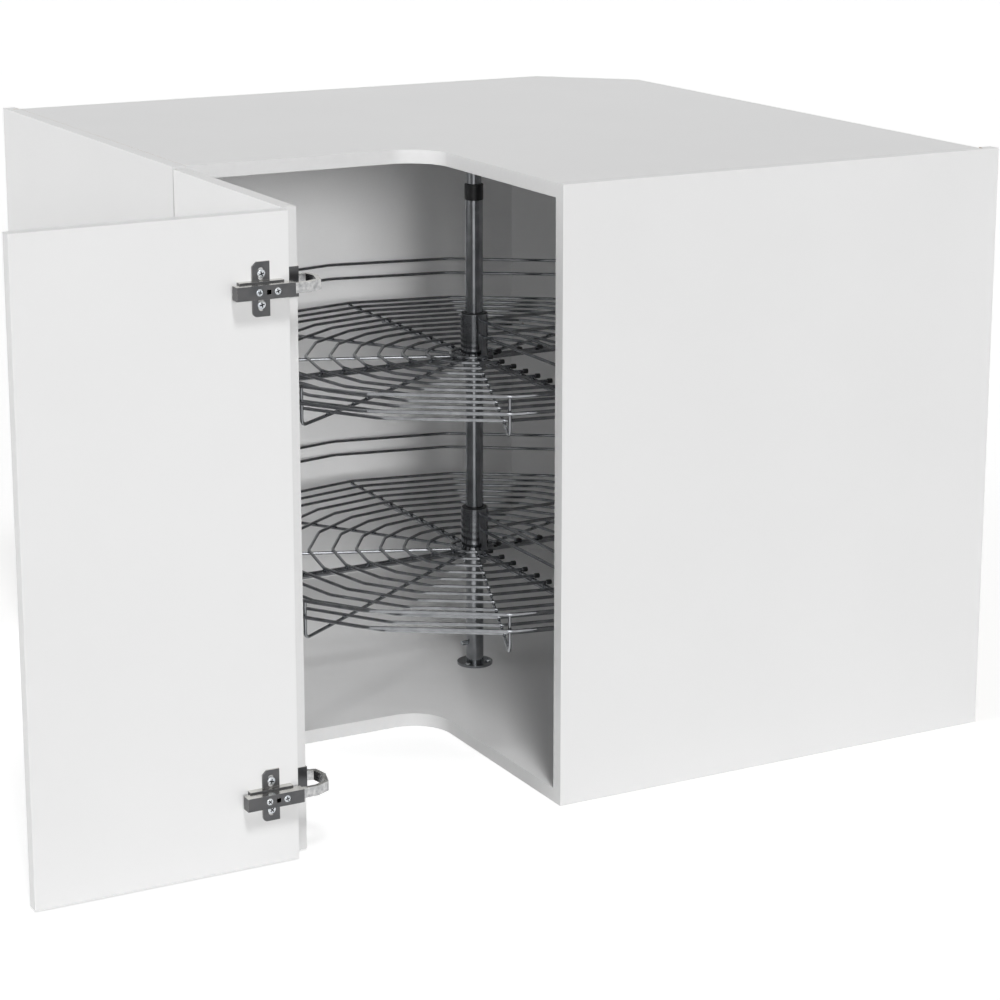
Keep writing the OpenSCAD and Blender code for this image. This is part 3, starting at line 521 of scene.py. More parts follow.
def add_piece(name: str, mesh: bpy.types.Mesh, body: Body,
              stands_for: Sequence[str] = ()) -> None:
    """Makes a mesh a piece of the object.

    Args:
        name: The piece's name.
        mesh: Its mesh, in the frame's axes.
        body: The CAD body that it rides on.
        stands_for: The CAD nodes that it replaces.
    """
    mesh.name = name
    piece = add_object(name, mesh)
    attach(piece, body.value)
    if stands_for:
        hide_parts(*stands_for)
    LOG.info("%s: %d faces on %s", name, len(mesh.polygons), body.value)


def to_mesh(shape: bmesh.types.BMesh, finishes: Sequence[Finish]) -> bpy.types.Mesh:
    """Turns a shape into a mesh and frees the shape.

    Args:
        shape: The shape.
        finishes: The finish of each material index.

    Returns:
        The mesh.
    """
    mesh = bpy.data.meshes.new("shape")
    shape.to_mesh(mesh)
    shape.free()
    for finish in finishes:
        mesh.materials.append(made(finish))
    return mesh


def evened(mesh: bpy.types.Mesh) -> bpy.types.Mesh:
    """Shades a mesh so that its large faces look flat between their rounded edges.

    Args:
        mesh: The mesh.

    Returns:
        A copy whose normals follow the larger faces.
    """
    mesh.shade_smooth()
    mesh.set_sharp_from_angle(angle=math.radians(SOLID_SHARP_DEG))
    holder = add_object("evening", mesh)
    modifier = holder.modifiers.new("even", "WEIGHTED_NORMAL")
    modifier.keep_sharp = True
    graph = bpy.context.evaluated_depsgraph_get()
    even = bpy.data.meshes.new_from_object(holder.evaluated_get(graph), depsgraph=graph)
    holder.modifiers.remove(modifier)
    bpy.data.objects.remove(holder)
    return even


def node_shape(node: str) -> bmesh.types.BMesh:
    """Copies a CAD node as a merged shape whose flat areas are whole faces.

    Args:
        node: The CAD node.

    Returns:
        The shape.
    """
    shape = bmesh.new()
    shape.from_mesh(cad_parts[node].data)
    bmesh.ops.remove_doubles(shape, verts=shape.verts, dist=MERGE_DISTANCE)
    bmesh.ops.dissolve_limit(shape, angle_limit=math.radians(FLAT_DEG), verts=shape.verts,
                             edges=shape.edges)
    return shape


def softened(node: str, radius_mm: float,
             corner_deg: float = CORNER_DEG) -> bmesh.types.BMesh:
    """Rounds the sharp edges of a copy of a CAD node.

    Args:
        node: The CAD node.
        radius_mm: The width of the rounding.
        corner_deg: The angle past which an edge is rounded.

    Returns:
        The shape, whose rounded strips have material index 1.
    """
    shape = node_shape(node)
    for face in shape.faces:
        face.material_index = 0
    edges = [edge for edge in shape.edges
             if edge.is_manifold and edge.calc_face_angle(0) > math.radians(corner_deg)]
    rounded = bmesh.ops.bevel(shape, geom=edges, offset=radius_mm * MM, segments=ROUND_STRIPS,
                              profile=0.5, affect="EDGES", clamp_overlap=True)
    for face in rounded["faces"]:
        face.material_index = 1
    return shape


def in_one_finish(node: str, radius_mm: float, finish: Finish,
                  corner_deg: float = CORNER_DEG) -> bpy.types.Mesh:
    """Rounds the sharp edges of a copy of a CAD node and gives it one finish.

    Args:
        node: The CAD node.
        radius_mm: The width of the rounding.
        finish: The finish of its faces and of its rounded edges.
        corner_deg: The angle past which an edge is rounded.

    Returns:
        The mesh.
    """
    return evened(to_mesh(softened(node, radius_mm, corner_deg), [finish, finish]))


def ring_of_corners(shape: bmesh.types.BMesh, radius: float, height: float,
                    steps: int) -> list[bmesh.types.BMVert]:
    """Adds a ring of corners about +Z to a shape.

    Args:
        shape: The shape.
        radius: The ring's radius in millimetres; 0 adds one corner on the axis.
        height: Its height in millimetres.
        steps: The number of corners in it.

    Returns:
        The corners, in order.
    """
    turns = [2 * math.pi * k / steps for k in range(steps if radius else 1)]
    return [shape.verts.new(Vector((radius * math.cos(turn), radius * math.sin(turn),
                                    height)) * MM) for turn in turns]


def join_rings(shape: bmesh.types.BMesh, rings: Sequence[Sequence[bmesh.types.BMVert]],
               steps: int) -> None:
    """Joins each ring of corners to the next one with a strip of faces.

    Args:
        shape: The shape that holds the rings.
        rings: The rings in order, each with its steps or with one corner.
        steps: The number of faces in a strip.
    """
    for low, high in zip(rings, rings[1:]):
        for k in range(steps):
            after = (k + 1) % steps
            corners = [low[k % len(low)], low[after % len(low)],
                       high[after % len(high)], high[k % len(high)]]
            shape.faces.new(list(dict.fromkeys(corners)))


def lathe(profile: Sequence[tuple[float, float]], steps: int) -> bmesh.types.BMesh:
    """Turns a closed profile about +Z.

    Args:
        profile: Radius and height of each corner in millimetres; a radius of 0 closes a pole.
        steps: The number of steps round the axis.

    Returns:
        The turned shape, with its faces outwards.
    """
    shape = bmesh.new()
    rings = [ring_of_corners(shape, radius, height, steps) for radius, height in profile]
    closed = all(radius > 0 for radius, _ in profile)
    join_rings(shape, rings + rings[:1] if closed else rings, steps)
    bmesh.ops.recalc_face_normals(shape, faces=shape.faces)
    return shape


def points_mesh(places: Sequence[Place]) -> bpy.types.Mesh:
    """Makes a mesh of loose points, each with the direction "aim".

    Args:
        places: Each point and its direction.

    Returns:
        The mesh.
    """
    mesh = bpy.data.meshes.new("points")
    mesh.from_pydata([spot for spot, _ in places], [], [])
    aims = mesh.attributes.new("aim", "FLOAT_VECTOR", "POINT")
    aims.data.foreach_set("vector", [c for _, aim in places for c in aim])
    return mesh


def lines_mesh(runs: Sequence[Run]) -> bpy.types.Mesh:
    """Makes a mesh of open lines, whose corners have the bend radius "bend".

    Args:
        runs: Each line's corners in metres, with the radius of each bend in millimetres.

    Returns:
        The mesh.
    """
    mesh = bpy.data.meshes.new("lines")
    corners = [corner for run in runs for corner, _ in run]
    starts = [sum(len(run) for run in runs[:i]) for i in range(len(runs))]
    edges = [(start + i, start + i + 1) for start, run in zip(starts, runs)
             for i in range(len(run) - 1)]
    mesh.from_pydata(corners, edges, [])
    bends = mesh.attributes.new("bend", "FLOAT", "POINT")
    bends.data.foreach_set("value", [radius * MM for run in runs for _, radius in run])
    return mesh


def grown(base: bpy.types.Mesh, tree: bpy.types.NodeTree,
          values: dict[str, Any]) -> bpy.types.Mesh:
    """Runs a Geometry Nodes tree on a mesh.

    Args:
        base: The mesh that the tree starts from.
        tree: The tree.
        values: The tree's inputs by name.

    Returns:
        The plain mesh that the tree makes, with its doubles merged and its faces outwards.
    """
    holder = add_object("growing", base)
    modifier = holder.modifiers.new("growth", "NODES")
    modifier.node_group = tree
    sockets = {item.name: item.identifier for item in tree.interface.items_tree
               if item.item_type == "SOCKET" and item.in_out == "INPUT"}
    for name, value in values.items():
        modifier[sockets[name]] = value
    graph = bpy.context.evaluated_depsgraph_get()
    mesh = bpy.data.meshes.new_from_object(holder.evaluated_get(graph), depsgraph=graph)
    holder.modifiers.remove(modifier)
    bpy.data.objects.remove(holder)
    shape = bmesh.new()
    shape.from_mesh(mesh)
    bmesh.ops.remove_doubles(shape, verts=shape.verts, dist=MERGE_DISTANCE)
    bmesh.ops.recalc_face_normals(shape, faces=shape.faces)
    shape.to_mesh(mesh)
    shape.free()
    mesh.shade_smooth()
    mesh.set_sharp_from_angle(angle=math.radians(WIRE_SHARP_DEG))
    return mesh


# ------------------------------------------------------------------ Geometry Nodes trees

def new_tree(name: str, inputs: Sequence[tuple[str, str]]) -> tuple[
        bpy.types.NodeTree, bpy.types.Node, bpy.types.Node]:
    """Starts a Geometry Nodes tree.

    Args:
        name: The tree's name.
        inputs: Name and socket type of each input after the geometry.

    Returns:
        The tree, its input node and its output node.
    """
    tree = bpy.data.node_groups.new(name, "GeometryNodeTree")
    tree.interface.new_socket("Geometry", in_out="INPUT", socket_type="NodeSocketGeometry")
    for label, kind in inputs:
        tree.interface.new_socket(label, in_out="INPUT", socket_type=kind)
    tree.interface.new_socket("Geometry", in_out="OUTPUT", socket_type="NodeSocketGeometry")
    return tree, add_node(tree, "NodeGroupInput"), add_node(tree, "NodeGroupOutput")


def draw_wire(tree: bpy.types.NodeTree, given: bpy.types.Node, result: bpy.types.Node,
              path: bpy.types.NodeSocket) -> None:
    """Ends a tree with a round wire along its curves.

    Args:
        tree: The tree.
        given: Its input node, which has Wire Diameter, Sides and Finish.
        result: Its output node.
        path: The socket of the curves.
    """
    wire_r = add_node(tree, "ShaderNodeMath", {"operation": "MULTIPLY", 1: 0.5},
                      {0: given.outputs["Wire Diameter"]})
    section = add_node(tree, "GeometryNodeCurvePrimitiveCircle", {},
                       {"Resolution": given.outputs["Sides"], "Radius": wire_r.outputs[0]})
    drawn = add_node(tree, "GeometryNodeCurveToMesh", {"Fill Caps": True},
                     {"Curve": path, "Profile Curve": section.outputs["Curve"]})
    real = add_node(tree, "GeometryNodeRealizeInstances", {}, {"Geometry": drawn.outputs[0]})
    dressed = add_node(tree, "GeometryNodeSetMaterial", {},
                       {"Geometry": real.outputs[0], "Material": given.outputs["Finish"]})
    tree.links.new(dressed.outputs[0], result.inputs["Geometry"])


@lru_cache(maxsize=None)
def floor_wires_tree() -> bpy.types.NodeTree:
    """Makes the tree of a shelf's floor wires.

    Each wire is a polygonal ring that leaves out one quarter and runs past its edges.

    Returns:
        The tree.
    """
    tree, given, result = new_tree("floor_wires", [
        ("Ring Count", "NodeSocketInt"), ("Ring Pitch", "NodeSocketFloat"),
        ("Wire Diameter", "NodeSocketFloat"), ("Overshoot", "NodeSocketFloat"),
        ("Bend Radius", "NodeSocketFloat"), ("Bend Steps", "NodeSocketInt"),
        ("Sides", "NodeSocketInt"), ("Finish", "NodeSocketMaterial")])
    step = 2 * math.pi / POLYGON_SIDES
    # One line of loose corners for each ring, which knows its ring's number
    points = add_node(tree, "GeometryNodePoints", {}, {"Count": given.outputs["Ring Count"]})
    line = add_node(tree, "GeometryNodeCurvePrimitiveLine", {"End": (1, 0, 0)})
    dotted = add_node(tree, "GeometryNodeResampleCurve", {"Count": POLYGON_CORNERS},
                      {"Curve": line.outputs["Curve"]})
    rings = add_node(tree, "GeometryNodeInstanceOnPoints", {},
                     {"Points": points.outputs[0], "Instance": dotted.outputs["Curve"]})
    order = add_node(tree, "GeometryNodeInputIndex")
    numbered = add_node(tree, "GeometryNodeStoreNamedAttribute",
                        {"data_type": "INT", "domain": "INSTANCE", "Name": "ring"},
                        {"Geometry": rings.outputs["Instances"],
                         "Value": order.outputs["Index"]})
    loose = add_node(tree, "GeometryNodeRealizeInstances", {},
                     {"Geometry": numbered.outputs["Geometry"]})
    ring = add_node(tree, "GeometryNodeInputNamedAttribute",
                    {"data_type": "INT", "Name": "ring"})
    along = add_node(tree, "GeometryNodeSplineParameter")
    nth = add_node(tree, "ShaderNodeMath", {"operation": "ADD", 1: 1.0},
                   {0: ring.outputs["Attribute"]})
    radius = add_node(tree, "ShaderNodeMath", {"operation": "MULTIPLY"},
                      {0: nth.outputs[0], 1: given.outputs["Ring Pitch"]})
    # A corner between the ends lies on the ring's circle
    angle = add_node(tree, "ShaderNodeMath", {"operation": "MULTIPLY", 1: step},
                     {0: along.outputs["Index"]})
    cosine = add_node(tree, "ShaderNodeMath", {"operation": "COSINE"}, {0: angle.outputs[0]})
    sine = add_node(tree, "ShaderNodeMath", {"operation": "SINE"}, {0: angle.outputs[0]})
    across = add_node(tree, "ShaderNodeMath", {"operation": "MULTIPLY"},
                      {0: radius.outputs[0], 1: cosine.outputs[0]})
    up = add_node(tree, "ShaderNodeMath", {"operation": "MULTIPLY"},
                  {0: radius.outputs[0], 1: sine.outputs[0]})
    corner = add_node(tree, "ShaderNodeCombineXYZ", {},
                      {"X": across.outputs[0], "Y": up.outputs[0]})
    # The first and last corners lie past the edges of the open quarter, on the same sides
    reach = add_node(tree, "ShaderNodeMath",
                     {"operation": "MULTIPLY_ADD", 1: math.tan(step / 2)},
                     {0: given.outputs["Overshoot"], 2: radius.outputs[0]})
    past = add_node(tree, "ShaderNodeMath", {"operation": "MULTIPLY", 1: -1.0},
                    {0: given.outputs["Overshoot"]})
    reach_back = add_node(tree, "ShaderNodeMath", {"operation": "MULTIPLY", 1: -1.0},
                          {0: reach.outputs[0]})
    first = add_node(tree, "ShaderNodeCombineXYZ", {},
                     {"X": reach.outputs[0], "Y": past.outputs[0]})
    last = add_node(tree, "ShaderNodeCombineXYZ", {},
                    {"X": given.outputs["Overshoot"], "Y": reach_back.outputs[0]})
    at_first = add_node(tree, "FunctionNodeCompare",
                        {"data_type": "INT", "operation": "EQUAL", 3: 0},
                        {2: along.outputs["Index"]})
    at_last = add_node(tree, "FunctionNodeCompare",
                       {"data_type": "INT", "operation": "EQUAL", 3: POLYGON_CORNERS - 1},
                       {2: along.outputs["Index"]})
    inner = add_node(tree, "GeometryNodeSwitch", {"input_type": "VECTOR"},
                     {0: at_last.outputs[0], 1: corner.outputs[0], 2: last.outputs[0]})
    spot = add_node(tree, "GeometryNodeSwitch", {"input_type": "VECTOR"},
                    {0: at_first.outputs[0], 1: inner.outputs[0], 2: first.outputs[0]})
    laid = add_node(tree, "GeometryNodeSetPosition", {},
                    {"Geometry": loose.outputs[0], "Position": spot.outputs[0]})
    bent = add_node(tree, "GeometryNodeFilletCurve", {"mode": "POLY"},
                    {"Curve": laid.outputs[0], "Radius": given.outputs["Bend Radius"],
                     "Count": given.outputs["Bend Steps"]})
    draw_wire(tree, given, result, bent.outputs[0])
    return tree


@lru_cache(maxsize=None)
def bent_wire_tree() -> bpy.types.NodeTree:
    """Makes the tree that draws a round wire along lines and bends it at their corners.

    Returns:
        The tree.
    """
    tree, given, result = new_tree("bent_wire", [
        ("Wire Diameter", "NodeSocketFloat"), ("Bend Steps", "NodeSocketInt"),
        ("Sides", "NodeSocketInt"), ("Finish", "NodeSocketMaterial")])
    path = add_node(tree, "GeometryNodeMeshToCurve", {}, {"Mesh": given.outputs["Geometry"]})
    bend = add_node(tree, "GeometryNodeInputNamedAttribute",
                    {"data_type": "FLOAT", "Name": "bend"})
    bent = add_node(tree, "GeometryNodeFilletCurve", {"mode": "POLY", "Limit Radius": True},
                    {"Curve": path.outputs[0], "Radius": bend.outputs["Attribute"],
                     "Count": given.outputs["Bend Steps"]})
    draw_wire(tree, given, result, bent.outputs[0])
    return tree


@lru_cache(maxsize=None)
def fittings_tree() -> bpy.types.NodeTree:
    """Makes the tree that sets a copy of a pattern piece on each point, along its "aim".

    Returns:
        The tree.
    """
    tree, given, result = new_tree("fittings", [
        ("Pattern", "NodeSocketObject"), ("Turn Spread", "NodeSocketFloat"),
        ("Seed", "NodeSocketInt"), ("Finish", "NodeSocketMaterial"),
        ("Recess Painted Shade", "NodeSocketMaterial")])
    points = add_node(tree, "GeometryNodeMeshToPoints", {}, {"Mesh": given.outputs["Geometry"]})
    pattern = add_node(tree, "GeometryNodeObjectInfo", {},
                       {"Object": given.outputs["Pattern"]})
    aim = add_node(tree, "GeometryNodeInputNamedAttribute",
                   {"data_type": "FLOAT_VECTOR", "Name": "aim"})
    upright = add_node(tree, "FunctionNodeAlignRotationToVector", {"axis": "Z"},
                       {"Vector": aim.outputs["Attribute"]})
    copies = add_node(tree, "GeometryNodeInstanceOnPoints", {},
                      {"Points": points.outputs[0], "Instance": pattern.outputs["Geometry"],
                       "Rotation": upright.outputs[0]})
    turn = add_node(tree, "FunctionNodeRandomValue", {"data_type": "FLOAT"},
                    {3: given.outputs["Turn Spread"], "Seed": given.outputs["Seed"]})
    about = add_node(tree, "ShaderNodeCombineXYZ", {}, {"Z": turn.outputs[1]})
    spin = add_node(tree, "FunctionNodeEulerToRotation", {}, {0: about.outputs[0]})
    turned = add_node(tree, "GeometryNodeRotateInstances", {"Local Space": True},
                      {"Instances": copies.outputs[0], "Rotation": spin.outputs[0]})
    real = add_node(tree, "GeometryNodeRealizeInstances", {}, {"Geometry": turned.outputs[0]})
    dressed = add_node(tree, "GeometryNodeSetMaterial", {},
                       {"Geometry": real.outputs[0], "Material": given.outputs["Finish"]})
    # Faces marked recess get the dark zinc, a painted shade in the screws' recesses
    recess = add_node(tree, "GeometryNodeInputNamedAttribute",
                      {"data_type": "BOOLEAN", "Name": "recess"})
    painted_recess_shade = add_node(tree, "GeometryNodeSetMaterial", {},
                    {"Geometry": dressed.outputs[0], "Selection": recess.outputs["Attribute"],
                     "Material": given.outputs["Recess Painted Shade"]})
    tree.links.new(painted_recess_shade.outputs[0], result.inputs["Geometry"])
    return tree


def scattered(pattern: bmesh.types.BMesh, places: Sequence[Place],
              finish: Finish) -> bpy.types.Mesh:
    """Sets copies of a pattern piece on places.

    Args:
        pattern: The piece at the origin, which points along +Z. It is freed.
        places: Where each copy goes and where it points.
        finish: The copies' finish.

    Returns:
        One mesh of all the copies.
    """
    sample = add_object("pattern", to_mesh(pattern, []))
    # The copies' recesses are painted dark as painted shade
    mesh = grown(points_mesh(places), fittings_tree(),
                 {"Pattern": sample, "Turn Spread": TURN_SPREAD, "Seed": SEED,
                  "Finish": made(finish), "Recess Painted Shade": made(RECESS_SHADE)})
    bpy.data.objects.remove(sample)
    return mesh


# ------------------------------------------------------------------ fasteners

class Drive(Enum):
    """The recess in a fastener's head."""

    CROSS = "cross"
    HEX = "hex"


@dataclass(frozen=True)
class Fastener:
    """One kind of screw: a domed head with a recess, on a plain shank with a point.

    The recess is sized in shares of the head's diameter, and the dome in shares of the
    head's radius and height.
    """

    head_d: float
    head_h: float
    shank_d: float
    shank_l: float
    drive: Drive = Drive.CROSS
    steps: int = 24
    hex_share: float = 0.27
    cross_share: float = 0.3
    cross_arm_share: float = 0.07
    recess_depth_share: float = 0.75
    recess_taper: float = 0.75
    dome: Profile = ((0.62, 0.0), (0.86, 0.16), (1.0, 0.5), (1.0, 1.0))
    point_from: float = 0.85

    def recess(self) -> list[tuple[float, float]]:
        """Draws the outline of the recess.

        Returns:
            Its corners in millimetres, in order.
        """
        if self.drive is Drive.HEX:
            radius = self.hex_share * self.head_d
            return [(radius * math.cos(math.pi * k / 3), radius * math.sin(math.pi * k / 3))
                    for k in range(6)]
        reach, half = self.cross_share * self.head_d, self.cross_arm_share * self.head_d
        quarter = [(reach, -half), (reach, half), (half, half)]
        turns = [(1, 0), (0, 1), (-1, 0), (0, -1)]
        return [(x * c - y * s, x * s + y * c) for c, s in turns for x, y in quarter]

    def shape(self) -> bmesh.types.BMesh:
        """Builds the screw with the top of its head at the origin, pointing along +Z.

        Returns:
            The shape, whose recess has the face attribute "recess".
        """
        shape = bmesh.new()
        half = self.head_d / 2
        foot = -self.head_h - self.shank_l
        levels = [(r * half, -h * self.head_h) for r, h in self.dome]
        levels += [(self.shank_d / 2, -self.head_h), (self.shank_d / 2, self.point_from * foot),
                   (0, foot)]
        rings = [ring_of_corners(shape, r, z, self.steps) for r, z in levels]
        join_rings(shape, rings, self.steps)
        outline = self.recess()
        taper, depth = self.recess_taper, -self.recess_depth_share * self.head_h
        mouth = [shape.verts.new(Vector((x, y, 0)) * MM) for x, y in outline]
        well = [shape.verts.new(Vector((taper * x, taper * y, depth)) * MM) for x, y in outline]
        count = len(outline)
        # The recess's faces are marked so that they get a dark painted shade
        painted_recess_shade = shape.faces.layers.bool.new("recess")
        sides = [shape.faces.new((mouth[k], mouth[(k + 1) % count], well[(k + 1) % count],
                                  well[k])) for k in range(count)]
        for face in [*sides, shape.faces.new(well)]:
            face[painted_recess_shade] = True
        rims = [shape.edges.get((loop[k], loop[(k + 1) % len(loop)]))
                for loop in (rings[0], mouth) for k in range(len(loop))]
        bmesh.ops.triangle_fill(shape, edges=rims, use_beauty=True)
        bmesh.ops.recalc_face_normals(shape, faces=shape.faces)
        return shape


@dataclass
class FastenerSet:
    """All the screws of one CAD node, set where the node's own solids are."""

    node: str
    body: Body
    kind: Fastener
    head_share: float = 0.95
    order_digits: int = 6

    def places(self) -> list[Place]:
        """Finds each solid's axis and head.

        Returns:
            The top of each head and the direction that it points in.
        """
        shape = node_shape(self.node)
        waiting = set(shape.verts)
        found = []
        while waiting:
            island, front = set(), [waiting.pop()]
            while front:
                vert = front.pop()
                island.add(vert)
                for edge in vert.link_edges:
                    other = edge.other_vert(vert)
                    if other in waiting:
                        waiting.discard(other)
                        front.append(other)
            found.append(self.head_of([vert.co.copy() for vert in island]))
        shape.free()
        return sorted(found, key=lambda item: tuple(round(c, self.order_digits)
                                                    for c in item[0]))

    def head_of(self, corners: Sequence[Vector]) -> Place:
        """Finds a screw's head from the screw's corners.

        Args:
            corners: The corners.

        Returns:
            The top of the head and the direction that it points in.
        """
        low = Vector([min(c[i] for c in corners) for i in range(3)])
        high = Vector([max(c[i] for c in corners) for i in range(3)])
        size, middle = high - low, (high + low) / 2
        spans = [abs(size[(i + 1) % 3] - size[(i + 2) % 3]) for i in range(3)]
        axis = spans.index(min(spans))
        off_axis = [((c - middle) - Vector([(c - middle)[i] if i == axis else 0
                                            for i in range(3)])).length for c in corners]
        widest = max(off_axis)
        heads = [c[axis] for c, off in zip(corners, off_axis) if off > self.head_share * widest]
        side = 1 if sum(heads) / len(heads) > middle[axis] else -1
        aim = Vector([side if i == axis else 0 for i in range(3)])
        top = middle.copy()
        top[axis] = high[axis] if side > 0 else low[axis]
        return top, aim

    def build(self) -> None:
        """Builds the screws and sets them in place of the CAD node."""
        mesh = scattered(self.kind.shape(), self.places(), ZINC_PLATE)
        add_piece(self.node + "_dressed", mesh, self.body, [self.node])


# ------------------------------------------------------------------ carcass

@dataclass
class Carcass:
    """The cabinet's boards, thin backs and joint fittings."""

    side_inner: float = -430.0
    front: float = -128.0
    height: float = 704.0
    panel_t: float = 16.0
    edge_round: float = 0.5
    back_round: float = 0.2
    cam_round: float = 0.3
    dowel_round: float = 0.6
    back_screw: Fastener = Fastener(head_d=6, head_h=1.2, shank_d=3, shank_l=16)

    def side_surface(self, normal: Vector, centre: Vector) -> Surface:
        """Tells what a part of the left side panel shows.

        Args:
            normal: The part's normal.
            centre: Its centre in metres.

        Returns:
            The kind of surface.
        """
        x, y, z = centre / MM
        outer = self.side_inner - self.panel_t
        if abs(normal.x) > FACING and min(abs(x - outer), abs(x - self.side_inner)) < NEAR:
            return Surface.FACE
        if y < self.front + NEAR or z > self.height - NEAR:
            return Surface.BAND
        return Surface.CORE

    def mirrored_side_surface(self, normal: Vector, centre: Vector) -> Surface:
        """Tells what a part of the right side panel shows, which mirrors the left one."""
        return self.side_surface(normal.yxz, centre.yxz)

    def level_surface(self, normal: Vector, centre: Vector) -> Surface:
        """Tells what a part of the bottom or top panel shows.

        Args:
            normal: The part's normal.
            centre: Its centre in metres.

        Returns:
            The kind of surface.
        """
        x, y, z = centre / MM
        levels = (0, self.panel_t, self.height - self.panel_t, self.height)
        if abs(normal.z) > FACING and min(abs(z - level) for level in levels) < NEAR:
            return Surface.FACE
        if x < self.front + NEAR and y < self.front + NEAR:
            return Surface.BAND
        return Surface.CORE

    def corner_surface(self, normal: Vector, _: Vector) -> Surface:
        """Tells what a part of the slanted corner panel shows, by its normal alone."""
        slant = abs(normal.x + normal.y) / math.sqrt(2)
        return Surface.FACE if slant > FACING else Surface.CORE

    def board(self, node: str, surface: Callable[[Vector, Vector], Surface]) -> None:
        """Dresses one chipboard panel.

        Args:
            node: The CAD node that the panel replaces.
            surface: Tells what a face with that normal and centre shows.
        """
        shape = softened(node, self.edge_round)
        for face in shape.faces:
            face.material_index = surface(face.normal, face.calc_center_median()).value
        mesh = evened(to_mesh(shape, [MELAMINE, EDGING, CORE]))
        add_piece(node + "_board", mesh, Body.CARCASS, [node])

    def thin_back(self, node: str, inward: Vector) -> None:
        """Dresses one thin back, lacquered inside and bare outside.

        Args:
            node: The CAD node that the back replaces.
            inward: The direction that its lacquered face looks in.
        """
        shape = softened(node, self.back_round)
        for face in shape.faces:
            face.material_index = 0 if face.normal.dot(inward) > FACING else 1
        mesh = evened(to_mesh(shape, [LACQUER, FIBRES]))
        add_piece(node + "_sheet", mesh, Body.CARCASS, [node])

    def fittings(self) -> None:
        """Dresses the cam drums, the bolts that they hold and the dowels."""
        for name, node, radius, finish, slot in (
                ("cam_drums", "cam_housings", self.cam_round, DIE_CAST, Slot.ZINC_ALLOY),
                ("cam_bolt_pins", "cam_bolts", self.cam_round, ZINC_PLATE, Slot.ZINC_PLATE),
                ("beech_dowels", "carcass_dowels", self.dowel_round, BEECH, Slot.BEECH)):
            add_piece(name, in_one_finish(node, radius, finish), Body.CARCASS, [node])

    def build(self) -> None:
        """Builds the carcass."""
        self.board("bottom_panel", self.level_surface)
        self.board("top_panel", self.level_surface)
        self.board("left_side_panel", self.side_surface)
        self.board("right_side_panel", self.mirrored_side_surface)
        self.board("corner_back_panel", self.corner_surface)
        self.thin_back("left_back_panel", Vector((0, -1, 0)))
        self.thin_back("right_back_panel", Vector((-1, 0, 0)))
        self.fittings()
        FastenerSet("back_panel_screws", Body.CARCASS, self.back_screw).build()


# ------------------------------------------------------------------ pole

@dataclass
class Pole:
    """The telescoping pole with its flanges, collar, lock screw and carrier rings.

    The collar's foot and head are pairs of a step inwards and a height from its end.
    """

    edge_round: float = 0.4
    corner_deg: float = 40.0
    collar_bore: float = 22.1
    neck_bore: float = 18.7
    collar_d: float = 23.2
    collar_low: float = 615.0
    collar_mid: float = 625.0
    collar_high: float = 635.0
    collar_foot: Profile = ((0.5, 0.0), (0.15, 0.5), (0.0, 2.0))
    collar_head: Profile = ((0.0, 0.8), (0.3, 0.2), (0.8, 0.0))
    flange_screw: Fastener = Fastener(head_d=6.5, head_h=2, shank_d=4, shank_l=13)
    clamp_screw: Fastener = Fastener(head_d=5, head_h=1, shank_d=5, shank_l=3.9,
                                     drive=Drive.HEX)

    def plated(self, node: str, finish: Finish) -> None:
        """Dresses a turned part of the pole with rounded edges.

        Args:
            node: The CAD node that it replaces.
            finish: Its finish.
        """
        mesh = in_one_finish(node, self.edge_round, finish, self.corner_deg)
        add_piece(node + "_plated", mesh, Body.CARCASS, [node])

    def collar(self) -> None:
        """Turns the black collar: a plain ring that is rounded in at both ends."""
        outer, bore, neck = self.collar_d / 2, self.collar_bore / 2, self.neck_bore / 2
        profile = [(bore, self.collar_low),
                   *((outer - inset, self.collar_low + rise) for inset, rise in self.collar_foot),
                   *((outer - inset, self.collar_high - drop)
                     for inset, drop in self.collar_head),
                   (neck, self.collar_high), (neck, self.collar_mid), (bore, self.collar_mid)]
        mesh = evened(to_mesh(lathe(profile, TURNED_STEPS), [BLACK_PLASTIC]))
        add_piece("pole_collar_moulding", mesh, Body.CARCASS, ["pole_collar"])

    def build(self) -> None:
        """Builds the pole."""
        for node in ("base_flange", "top_flange", "lower_pole_tube", "upper_pole_tube",
                     "shelf_carrier_rings"):
            self.plated(node, CHROME_TUBE)
        self.plated("pole_lock_screw", ZINC_PLATE)
        self.collar()
        FastenerSet("flange_screws", Body.CARCASS, self.flange_screw).build()
        FastenerSet("carrier_ring_screws", Body.CARCASS, self.clamp_screw).build()


# ------------------------------------------------------------------ wire shelves

